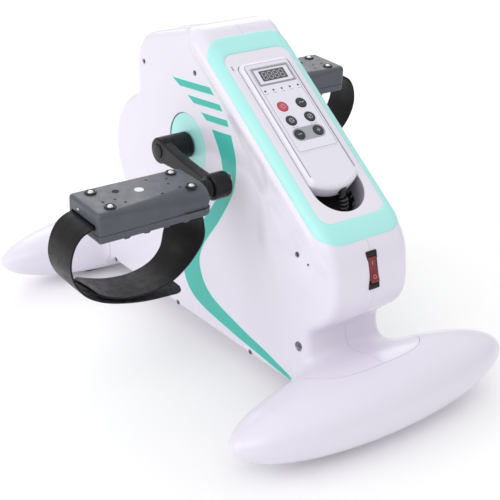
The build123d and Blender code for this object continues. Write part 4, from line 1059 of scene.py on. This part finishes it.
FACE_EDGE = [(-30.2, -176), (-30.2, -30), (-29.5, -26.6), (-26, -25.6)]
FACE_EDGE += [(-x, y) for x, y in FACE_EDGE[::-1]]
join(
    "overlay_border",
    [
        frame_line(26.3, -144.8, -30.6, 1.6, 0.45, FILM_TOP, FILM_TOP + 0.06),
        layers(stroke(FACE_EDGE, 0.3), [(0, FACE - 1.1), (0, FACE + 0.03)], CONSOLE, (False, True)),
    ],
    LINE_GREY, "handset", "overlay_film",
)
window = [frame_line(24.8, -55.4, -31.5, 0.8, 2.2, FILM_TOP - 0.3, FILM_TOP + 0.3)]
join("display_frame", window, LINE_GREY, "handset", "display_window", ("display_lens",))
printed(
    "display_surround", [box_loop(23.0, -53.6, -33.3, 0.4, 2)], FACE, FILM_TOP + 0.12,
    FILM, "handset", "display_window",
)
printed(
    "display_glass", [box_loop(17.0, -50.0, -36.0, 0.5, 2)], FACE, FILM_TOP + 0.24,
    LCD, "handset", "display_window",
)


def digit_strokes(centre, middle):
    """The seven bars of one digit."""
    half, rise, strokes = 2.5, 4.7, []
    for step in (-1, 0, 1):
        level = middle + step * rise
        strokes.append(stroke([(centre - half + 0.7, level), (centre + half - 0.7, level)], 0.9))
    for side in (-1, 1):
        for step in (-1, 1):
            low, high = sorted((middle + step * 0.6, middle + step * (rise - 0.6)))
            at = centre + side * half
            strokes.append(stroke([(at, low), (at, high)], 0.9))
    return strokes


digits = [bar for k in range(4) for bar in digit_strokes(-11.4 + 7.6 * k, -43.0)]
printed("display_digits", digits, FILM_TOP + 0.24, FILM_TOP + 0.3, LCD_DIGIT, "handset", "display_window")

LED_ROW, LED_PITCH = 62.4, 11.2
marks, dashes = [], []
for step in range(-2, 3):
    at = step * LED_PITCH
    marks.append(np.array([(at - 0.9, -LED_ROW - 1.3), (at + 1.3, -LED_ROW), (at - 0.9, -LED_ROW + 1.3)]))
    dashes.append(stroke([(at - 2.6, -LED_ROW - 3.9), (at + 2.6, -LED_ROW - 3.9)], 0.5))
for x in KEY_COLUMNS:
    for start, end in ((-4.6, -0.6), (0.4, 4.6)):
        dashes.append(stroke([(x + start, -113.9), (x + end, -113.9)], 0.6))
printed("mode_marks", marks, FILM_TOP - 0.2, FILM_TOP + 0.1, BLACK, "handset", "led_lens")
printed("label_dashes", dashes, FILM_TOP - 0.2, FILM_TOP + 0.05, LINE_GREY, "handset", "overlay_film")

pill_outline = box_loop(21.2, -132.3, -115.3, 8.4, 12)
flat, triangles = patch(pill_outline, key_holes[4:], 3.0)
pill = CONSOLE.over(flat, FILM_TOP + 0.12)
whole, normal, faces = lipped(pill, triangles, np.tile(CONSOLE.n, (len(flat), 1)), 0.3)
make("key_surround", whole, faces, PILL_GREY, "handset", "overlay_film", normals=normal)

KEY_PROFILE = [(6.3, 3.2), (6.3, 9.0), (6.1, 9.5), (5.6, 9.78), (4.9, 9.6), (4.4, 9.58)]
KEY_PROFILE += [(2.2, 9.78), (0.0, 9.85)]
CLOCK = stroke(arc_points(2.7, 0, 350, 28), 0.75)
MINUS = stroke([(-2.4, 0), (2.4, 0)], 0.9)
ICONS = {
    "key_power": [stroke(arc_points(2.6, 125, 415, 24), 0.75), stroke([(0, 0.9), (0, 3.4)], 0.75)],
    "key_program": [stroke([(-3.3, -0.9), (-1.1, 0.9), (1.1, -0.5), (3.3, 0.9)], 0.9)],
    "key_time": [CLOCK, stroke([(0, 2.0), (0, 0), (1.6, -1.0)], 0.75)],
    "key_mode": [CLOCK, stroke([(-1.9, -1.9), (1.9, 1.9)], 0.75)],
    "key_slower": [MINUS],
    "key_faster": [MINUS, stroke([(0, -2.4), (0, 2.4)], 0.9)],
}
for name, (x, t) in KEYS.items():
    centre = CONSOLE.moved(x, -t)
    look = (RED_KEY, name, "red_key") if name == "key_power" else (GREY_KEY, name, "grey_key")
    make(f"{name}_cap", *turned(KEY_PROFILE, centre, 48), *look, (name,), sharp=55.0)
    printed(f"{name}_icon", ICONS[name], 9.4, 9.9, ICON, name, "grey_key", place=centre)

# --- power switch ---
join(
    "switch_frame",
    [
        band(
            box_loop(7.2, -20.8, 20.8, 1.2), box_loop(5.75, -14.95, 14.95, 0.5),
            [(0, -0.9), (0, 1.1), (0.12, 1.6), (0.3, 1.8), (0.85, 1.7), (1.0, 1.4), (1.0, -7.0)],
            SWITCH, 40.0,
        ),
        layers(box_loop(5.9, -15.1, 15.1, 0.5), [(0, -7.2), (0, -7.0)], SWITCH),
    ],
    BLACK, "base", "black_plastic", ("switch_bezel",),
)
ROCKER = Frame(SWITCH.origin, SWITCH.b, SWITCH.n)
rocker_loop = rounded(
    [(-12.7, -3.2), (12.9, -3.2), (14.5, 1.4), (0.0, 2.2), (-13.3, 5.0)], [0.4, 0.4, 0.9, 6.0, 0.9], 6
)
stack(
    "switch_button", rocker_loop, [(0.5, -5.4), (0.1, -5.2), (0.0, -4.9), (0.0, 4.9), (0.1, 5.2), (0.5, 5.4)],
    ROCKER, RED_ROCKER, "rocker", "red_rocker", ("switch_rocker",),
)


def switch_face(along, out, rise):
    """A place on the rocker's face: across the switch, and up it along the face."""
    climb = SWITCH.b + SWITCH.n * rise
    return Frame(SWITCH.origin + SWITCH.b * along + SWITCH.n * out, SWITCH.a, climb)


on_mark, off_mark = stroke([(0, -2.2), (0, 2.2)], 0.9), stroke(arc_points(1.9, 0, 352, 30), 0.75)
for word, mark, place in (
    ("on", on_mark, switch_face(7.6, 1.8, -0.055)),
    ("off", off_mark, switch_face(-7.2, 3.74, -0.21)),
):
    printed(f"switch_{word}_mark", [mark], -0.2, 0.12, MARK_WHITE, "rocker", "red_rocker", place=place)

# --- side graphics ---


def flowing(points, count=9):
    """A smooth line through the points."""
    p = np.array(points, float)
    ends = np.concatenate([2 * p[:1] - p[1:2], p, 2 * p[-1:] - p[-2:-1]])
    out = []
    for a, b, c, d in zip(ends, ends[1:], ends[2:], ends[3:]):
        for t in np.linspace(0, 1, count, endpoint=False):
            square, cube = (2 * a - 5 * b + 4 * c - d) * t**2, (3 * b - a - 3 * c + d) * t**3
            out.append(0.5 * (2 * b + (c - a) * t + square + cube))
    return np.array(out + [p[-1]])


BARS = [
    [(54.5, 331.5), (-25.7, 337.6), (-35.5, 328.6), (35.4, 322.9)],
    [(23.9, 317.8), (-44.3, 322.6), (-51.2, 314.2), (7.2, 309.4)],
    [(-4.4, 304.1), (-58.0, 308.3), (-62.2, 299.3), (-17.7, 295.7)],
]
SWOOSH_FRONT = [(-66.4, 293.2), (-76.0, 264.0), (-71.0, 227.0), (-45.0, 184.0), (-10.0, 138.0), (-2.5, 108.0)]
SWOOSH_FRONT += [(-24.0, 80.0), (-83.0, 63.0), (-140.0, 52.0), (-184.0, 41.0)]
SWOOSH_REAR = [(-180.0, 34.5), (-125.0, 40.0), (-63.0, 46.5), (9.0, 60.0), (35.0, 90.0), (26.0, 130.0)]
SWOOSH_REAR += [(-20.0, 186.0), (-46.0, 226.0), (-46.0, 258.0), (-27.2, 289.9)]
swoosh = np.concatenate([flowing(SWOOSH_FRONT), flowing(SWOOSH_REAR)])
# The teal film's inset from the light edge under it, and how far each film stands off the skin.
DECAL_LINE, EDGE_LIFT, TEAL_LIFT = 1.1, 0.16, 0.32
OUTSIDE = 66.0


def anticlockwise(loop):
    loop = np.asarray(loop, float)
    after = np.roll(loop, -1, 0)
    return loop if (loop[:, 0] * after[:, 1] - after[:, 0] * loop[:, 1]).sum() > 0 else loop[::-1]


def side_print(name, loops, lift, material, replaced):
    """Outlines in (y, z), laid on the body's side as thin film, on both sides."""
    for side, word in SIDES:
        points, normals, faces = [], [], []
        for loop in loops:
            near_screws = [
                circle(4.2 if radius < 4 else 6.0, 20, (y, z))
                for y, z, radius in SIDE_SCREWS
                if side < 0 and polygon_distance(np.array([[y, z]]), loop)[0] < -7
            ]
            flat, triangles = patch(dense(loop, 4.0), near_screws, 4.0)
            out = np.full(len(flat), OUTSIDE)
            for _ in range(SETTLINGS):
                out -= machine_shape(out, flat[:, 0], flat[:, 1])
            surface = np.column_stack([out, flat])
            normal = unit(slope_of(machine_shape, surface, 2.0))
            part, part_normal, part_faces = lipped(surface + normal * lift, triangles, normal, lift + 0.25)
            base = sum(len(p) for p in points)
            points.append(part)
            normals.append(part_normal)
            faces += [[base + i for i in face] for face in part_faces]
        flip = np.array([side, 1.0, 1.0])
        make(
            f"{word}_{name}", np.concatenate(points) * flip, [face[::side] for face in faces], material,
            "base", "teal_print", (f"{word}_decal",) if replaced else (),
            normals=np.concatenate(normals) * flip,
        )


graphics = [anticlockwise(loop) for loop in BARS + [swoosh]]
side_print("graphic_edge", graphics, EDGE_LIFT, MINT_LIGHT, False)
side_print("graphic", [inset(dense(loop, 5.0), DECAL_LINE) for loop in graphics], TEAL_LIFT, TEAL, True)

# --- hub wells, hub covers and screws ---


def side_place(side, y, z):
    """A place on the machine's side: its normal points outwards along X."""
    return Frame((0, y, z), (0, side, 0), (0, 0, 1))


HUB_WELL = [(8.2, 45.0), (37.7, 45.0), (37.7, 51.2), (37.9, 52.05)]
HUB_COVER = [(8.0, 47.5), (37.0, 47.5), (37.0, 50.7), (36.8, 51.25), (36.2, 51.55), (35.2, 51.6), (8.0, 51.6)]
for side, word in SIDES:
    place = side_place(side, *CRANK)
    # Painted shadow: the well around the hub is near-black for the shade inside it.
    make(f"{word}_hub_well", *flipped(turned(HUB_WELL, place, 72)), SHADOW, "base", "white_plastic")
    make(
        f"{word}_hub_cover", *turned(HUB_COVER, place, 72), MINT, "crank", "mint_plastic",
        (f"{word}_hub_disc",),
    )

# The screw head's (radius, depth under the skin). The smallest hole has no head.
RECESS_RISE, RECESS_DEPTH, LEAST_HEADED = 0.15, 2.6, 3
SCREW_HEAD = [(3.0, 3.0), (3.0, 1.5), (2.4, 1.05), (0.9, 0.95), (0.7, 1.9), (0, 1.9)]
wells, heads = [], []
for y, z, radius in SIDE_SCREWS:
    face = float(settle(machine_shape, np.array([[58.0, y, z]]))[0][0])
    place = side_place(-1, y, z)
    floor = face - RECESS_DEPTH
    wells.append(turned([(radius, face + RECESS_RISE), (radius, floor), (0.0, floor)], place, 28))
    if radius > LEAST_HEADED:
        heads.append(turned([(r, face - depth) for r, depth in SCREW_HEAD], place, 28))
# The screw recesses are painted lilac grey: painted shade inside them.
join("screw_wells", wells, WALL_SHADE, "base", "white_plastic", sharp=40.0)
join("case_screws", heads, DARK_STEEL, "base", "dark_steel", ("shell_screws",))

# --- cranks ---


def arm_loop(reach):
    """The arm's outline from the hub to the far eye, its flanks pulled in between them."""
    reach, parts = np.array(reach, float), 14
    length = np.linalg.norm(reach)
    ahead = reach / length
    across_arm = np.array([-ahead[1], ahead[0]])
    lead = math.degrees(math.atan2(ahead[1], ahead[0]))
    shares = np.linspace(0, 1, 17)[1:-1]
    half = np.interp(shares, *ARM_WIDTHS)
    near = arc_points(ARM_WIDTHS[1][0], lead + 90, lead + 270, parts)
    far = arc_points(ARM_WIDTHS[1][-1], lead - 90, lead + 90, parts, tuple(reach))
    middle = shares[:, None] * reach
    low, high = middle - half[:, None] * across_arm, middle + half[:, None] * across_arm
    return np.concatenate([near, low, far, high[::-1]])


HUB_PROFILE = [(7.6, 53.5), (14.7, 53.5), (15.5, 54.2), (15.5, 58.0), (14.8, 58.4), (14.8, 59.3)]
HUB_PROFILE += [(15.5, 59.8), (15.5, 90.2), (15.2, 91.6), (14.4, 92.6), (13.0, 93.0), (8.8, 93.0)]
CAP_PROFILE = [(8.6, 92.9), (8.5, 93.8), (7.9, 94.3), (6.0, 94.55), (0.0, 94.6)]
EYE_PROFILE = [(0.0, 68.0), (8.0, 68.3), (12.0, 69.3), (14.2, 71.2), (15.0, 73.6), (15.0, 90.2)]
EYE_PROFILE += [(14.6, 91.8), (13.4, 92.8), (11.4, 93.0), (0.0, 93.0)]
COLLAR_PROFILE = [(9.8, 93.0), (11.0, 93.8), (11.0, 106.0), (10.2, 107.0), (6.4, 107.0), (6.0, 107.4)]
COLLAR_PROFILE += [(6.0, 225.4), (5.4, 226.0), (0.0, 226.0)]
ARM_WIDTHS = ([0.0, 0.12, 0.3, 0.5, 0.7, 0.88, 1.0], [13.2, 12.2, 9.9, 8.2, 7.5, 7.9, 9.6])
ARM_LEVELS = [(2.6, 80.0), (0.9, 80.6), (0.15, 81.8), (0.0, 83.5), (0.0, 89.5), (0.15, 91.0)]
ARM_LEVELS += [(0.9, 92.3), (2.6, 92.9)]
for side, word in SIDES:
    hub, end = side_place(side, *CRANK), side_place(side, *ENDS[word])
    reach = (side * (ENDS[word][0] - CRANK[0]), ENDS[word][1] - CRANK[1])
    arm = layers(arm_loop(reach), ARM_LEVELS, hub)
    join(
        f"{word}_crank", [turned(HUB_PROFILE, hub, 56), turned(EYE_PROFILE, end, 56), arm],
        ENAMEL, "crank", "black_enamel", (f"{word}_crank_arm",), sharp=40.0,
    )
    make(
        f"{word}_spindle", *turned(COLLAR_PROFILE, end, 48), ENAMEL, "crank", "black_enamel",
        (f"{word}_pedal_spindle",),
    )
join(
    "crank_caps", [turned(CAP_PROFILE, side_place(side, *CRANK), 48) for side in (-1, 1)],
    ENAMEL, "crank", "bright_steel", ("crank_bolts",),
)

# --- pedals ---
PEDAL_HALF = (69.5, 32.0, 16.7)
PEDAL_RAISE = 1.4
PEDAL_MIDDLE, PARTING, GROOVE = 177.5, -6.2, 0.25


def pedal_shape(u, v, w):
    """u runs outwards along the spindle, v to the rear and w up."""
    inner = ramp(-u, -60, 66)
    top_front = (v < 0) & (w > PARTING)
    soft = np.where(top_front, 6.0 + 13.0 * inner, np.where(w > PARTING, 4.0 + 3.0 * inner, 2.5))
    section = rounded_and(np.abs(v) - PEDAL_HALF[1], np.abs(w - PEDAL_RAISE) - PEDAL_HALF[2], soft)
    return rounded_and(section, np.abs(u) - PEDAL_HALF[0], np.where(u < 0, 11.0, 4.0))


SLOT_HALF, SPINDLE_HOLE, PEDAL_LIP = 25.0, 9.4, 3.0


def strap_slot(points):
    """The field of the slot the strap leaves by, at the pedal's outer end."""
    u, v, w = points.T
    return np.maximum(box_distance(v, w - 1.0, SLOT_HALF, 3.0, 1.2), 50 - u)


def strap_mouth(points):
    """The field of the slot under the inner end, where the strap comes back."""
    u, v, w = points.T
    return np.maximum(box_distance(v, u + 58.5, SLOT_HALF, 2.4, 1.0), w + 5)


def spindle_hole(points):
    u, v, w = points.T
    return np.maximum(np.hypot(v, w) - SPINDLE_HOLE, u + 50)


def pedal_map(side, end):
    """Turns a pedal's own (u, v, w) into places and directions in the row."""
    cos, sin = math.cos(PEDAL_TILT), math.sin(PEDAL_TILT)

    def directions(p):
        return np.stack([side * p[:, 0], p[:, 1] * cos - p[:, 2] * sin, p[:, 1] * sin + p[:, 2] * cos], 1)

    def places(p):
        return directions(p) + np.array([side * PEDAL_MIDDLE, *end])

    return places, directions


pedal = cut(
    meshed(pedal_shape, (-73, -36, -19), (73, 36, 21), PEDAL_GRID, 2), strap_slot, strap_mouth, spindle_hole
)
upper = cut(pedal, lambda p: p[:, 2] - PARTING - GROOVE)
lower = cut(pedal, lambda p: PARTING - GROOVE - p[:, 2])
halves = {
    word: lipped(*mesh, unit(slope_of(pedal_shape, mesh[0])), PEDAL_LIP)
    for word, mesh in (("shell", upper), ("tread", lower))
}
PEDAL_DOTS = [(-16, 18), (-36, 10), (-31, -2), (-37, -15), (-13, -19), (36, -6), (30, -17), (50, -6)]
RING_PROFILE = [(6.4, -0.3), (6.4, 1.0), (6.0, 1.6), (5.2, 1.9), (4.4, 1.7), (3.8, 1.0), (3.7, 0.4)]
DOME_PROFILE = [(3.7, 0.2), (3.6, 1.1), (3.1, 1.8), (2.2, 2.4), (1.1, 2.7), (0.0, 2.8)]
SCREWS_AT = [(u, v) for u in (-48.4, 49.6) for v in (-20, 20)]
CAP_PLATE = [(4.0, -0.2), (3.8, 0.3), (2.8, 0.3), (2.6, 0.05), (0, 0.05)]
LABEL_PROFILE = [(5.2, -0.1), (5.1, 0.3), (4.7, 0.4), (0, 0.4)]
TOP, SOLE = PEDAL_RAISE + PEDAL_HALF[2], PEDAL_HALF[2] - PEDAL_RAISE
RIB_LEVELS = [(0, -0.5), (0.3, 1.8), (0.7, 2.9), (1.4, 3.4)]
for side, word in SIDES:
    body = f"{word}_pedal"
    places, directions = pedal_map(side, ENDS[word])
    for half, (points, normal, faces) in halves.items():
        make(
            f"{word}_pedal_{half}_case", places(points), [face[::side] for face in faces], PEDAL, body,
            "pedal_plastic", (f"{word}_pedal_{half}",), normals=directions(normal),
        )
    origin = places(np.zeros((1, 3)))[0]
    backward = directions(np.array([[0, side, 0]]))[0]
    top, sole = Frame(origin, (side, 0, 0), backward), Frame(origin, (side, 0, 0), -backward)

    def on_top(u, v):
        return top.moved(u, side * v, TOP)

    join(
        f"{word}_pedal_caps", [turned(RING_PROFILE, on_top(u, v), 36) for u, v in SCREWS_AT],
        SCREW_BLACK, body, "black_screw", (f"{word}_pedal_screws",), sharp=50.0,
    )
    stud = Frame(origin + directions(np.array([[0, 10.0, 8.5]]))[0], (0, side, 0), (0, 0, 1))
    join(
        f"{word}_pedal_studs",
        [turned(DOME_PROFILE, on_top(u, v), 28) for u, v in SCREWS_AT]
        + [turned([(1.9, 68.5), (1.8, 70.2), (0, 70.6)], stud, 20)],
        STEEL, body, "black_screw", sharp=60.0,
    )
    join(
        f"{word}_pedal_dots",
        [turned([(1.7, -0.4), (1.6, 0.15), (0, 0.3)], on_top(u, v), 16) for u, v in PEDAL_DOTS]
        + [turned(CAP_PLATE, on_top(26, 10), 24)],
        PEDAL_DARK, body, "pedal_plastic",
    )
    make(
        f"{word}_pedal_label", *turned(LABEL_PROFILE, on_top(3, 1), 32),
        LABEL, body, "white_label", (f"{word}_pedal_mark",),
    )
    ribs = []
    for i in range(4):
        for j in range(3):
            place = sole.moved(-38 + 24 * i, -26 + 26 * j, SOLE)
            ribs.append(layers(box_loop(4.2, -2.4, 2.4, 2.3, 5), RIB_LEVELS, place, (False, True)))
    join(f"{word}_pedal_ribs", ribs, PEDAL, body, "pedal_plastic")
    inward = directions(np.array([[0, 0, 1]]))[0]
    inside = Frame(origin + np.array([side * 56.0, 0, 0]), (0, side, 0), inward)
    # A near-black plate behind the strap slot: painted shadow inside the slot.
    stack(
        f"{word}_slot_back", box_loop(26.5, -6, 8, 1), [(0, 0), (0, 1)], inside,
        SHADOW, body, "pedal_plastic",
    )

# --- straps ---
STRAP_HALF, STRAP_THICK, STRAP_TIP = 24.4, 2.6, 12
# The ripple along its edges, the stitched bead beside them and their thinner rim.
RIPPLE, RIPPLE_RUN, RIPPLE_LAG, BEAD, THIN_RIM = 0.35, 17, 2.2, 0.18, 0.82
# Where the inner run turns out of line: its level and its spread.
YAW_AT, YAW_SPREAD = -46, 24
OUTER_RUN = [(50, 1.0), (62, 1.0), (75, 0), (87, -7), (95, -21), (97.6, -40), (92, -59), (80, -75), (60, -87)]
OUTER_RUN += [(34, -95), (2, -101), (-40, -104)]
INNER_RUN = [(-58.5, -8), (-58, -22), (-55, -40), (-49, -57), (-39, -73), (-22, -86), (4, -92.2), (32, -90.2)]
INNER_RUN += [(54, -83.2), (72, -74.5)]


def ribbon(run, places, yaw, twist):
    """(points, faces) of a flat strap that follows a run of (u, w) places."""
    line = flowing(run, 12)
    step = unit(np.gradient(line, axis=0))
    normal = np.stack([-step[:, 1], step[:, 0]], 1)
    length = travelled(line)
    across_strap = np.linspace(-1, 1, 15)
    loop = [(a, -1) for a in across_strap] + [(1.0, 0.0)]
    loop += [(a, 1) for a in across_strap[::-1]] + [(-1.0, 0.0)]
    points = []
    for place, away, run_in in zip(line, normal, length):
        half, rest = STRAP_HALF, length[-1] - run_in
        if rest < STRAP_TIP:
            half = STRAP_HALF - STRAP_TIP + math.sqrt(max(STRAP_TIP**2 - (STRAP_TIP - rest) ** 2, 0))
        for a, b in loop:
            edge = abs(a)
            thick = STRAP_THICK / 2 * (1.0 if edge < 0.9 else THIN_RIM)
            wave = twist * RIPPLE * math.sin(run_in / RIPPLE_RUN + RIPPLE_LAG * a) * edge
            bead = BEAD * (1 if 0.86 > edge > 0.7 else 0)
            u, w = place + away * (b * (thick - bead) + wave)
            u += yaw * a * math.exp(-(((place[1] - YAW_AT) / YAW_SPREAD) ** 2))
            points.append((u, a * half * (1.0 if abs(b) < 0.5 else 0.985), w))
    return places(np.array(points)), ring_faces(len(line), len(loop), (True, True))


for side, word in SIDES:
    places, _ = pedal_map(side, ENDS[word])
    parts = [ribbon(OUTER_RUN, places, 0.0, 1.0), ribbon(INNER_RUN, places, 9.0, -1.0)]
    if side > 0:
        parts = [flipped(part) for part in parts]
    join(f"{word}_foot_strap", parts, STRAP, f"{word}_pedal", "strap_rubber", (f"{word}_strap",), sharp=40.0)

# --- parts kept from the CAD model ---
KEPT = [
    (FILM, "handset_overlay"),
    (BOARD, "handset_board control_board"),
    (BLACK, "indicator_leds power_inlet cord_socket drive_pulley"),
    (PAD, "foot_pads"),
    (FRAME, "base_frame cross_tubes motor_bracket"),
    (STEEL, "crank_bearings crank_axle motor_pulley"),
    (BELT, "drive_belt"),
    (MOTOR, "drive_motor"),
    (ALUMINIUM, "power_supply"),
    (NYLON, "left_pedal_bushes right_pedal_bushes"),
]
for material, names in KEPT:
    for name in names.split():
        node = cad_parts[name]
        for slot in node.material_slots:
            slot.material = material
        if not node.material_slots:
            node.data.materials.append(material)

# --- stage and light ---
world = bpy.data.worlds.new("studio")
world.use_nodes = True
tree, background = world.node_tree, world.node_tree.nodes["Background"]
sky, fade = tree.nodes.new("ShaderNodeSeparateXYZ"), tree.nodes.new("ShaderNodeMapRange")
dial(background, Color=(1.0, 1.0, 1.0, 1))
dial(fade, From_Min=0.0, From_Max=0.9, To_Min=0.5, To_Max=0.98)
tree.links.new(tree.nodes.new("ShaderNodeTexCoord").outputs["Generated"], sky.inputs[0])
tree.links.new(sky.outputs["Z"], fade.inputs["Value"])
tree.links.new(fade.outputs["Result"], background.inputs["Strength"])
bpy.context.scene.world = world
bpy.context.scene.view_settings.view_transform = "Standard"


def lamp(name, place, target, size, power):
    data = bpy.data.lights.new(name, "AREA")
    data.shape = "RECTANGLE"
    data.size, data.size_y = size
    data.energy = power
    lamp_object = added(name, data)
    lamp_object.location = place
    lamp_object.rotation_euler = (Vector(target) - Vector(place)).to_track_quat("-Z", "Y").to_euler()


lamp("key", (-1.5, -1.0, 1.9), (0, 0, 0.2), (1.4, 1.4), 9)
lamp("fill", (-2.0, 0.4, 1.1), (0, 0, 0.25), (1.2, 1.2), 9)
lamp("rim", (0.9, 1.7, 1.5), (0, 0, 0.2), (2.2, 1.2), 13)

paper = Nodes("floor_paper", (0.93, 0.93, 0.93), 0.85, specular=0.2)
dial(paper.shader, Emission_Color=(1, 1, 1, 1), Emission_Strength=0.06)
paper.bump(paper.noise(8.0, 2.0), 0.02, 0.001)
FLOOR_HALF = 6000.0
corners = [(x * FLOOR_HALF, y * FLOOR_HALF, 0) for x, y in ((-1, -1), (1, -1), (1, 1), (-1, 1))]
floor = shaped("floor", corners, [(0, 1, 2, 3)], paper.material)
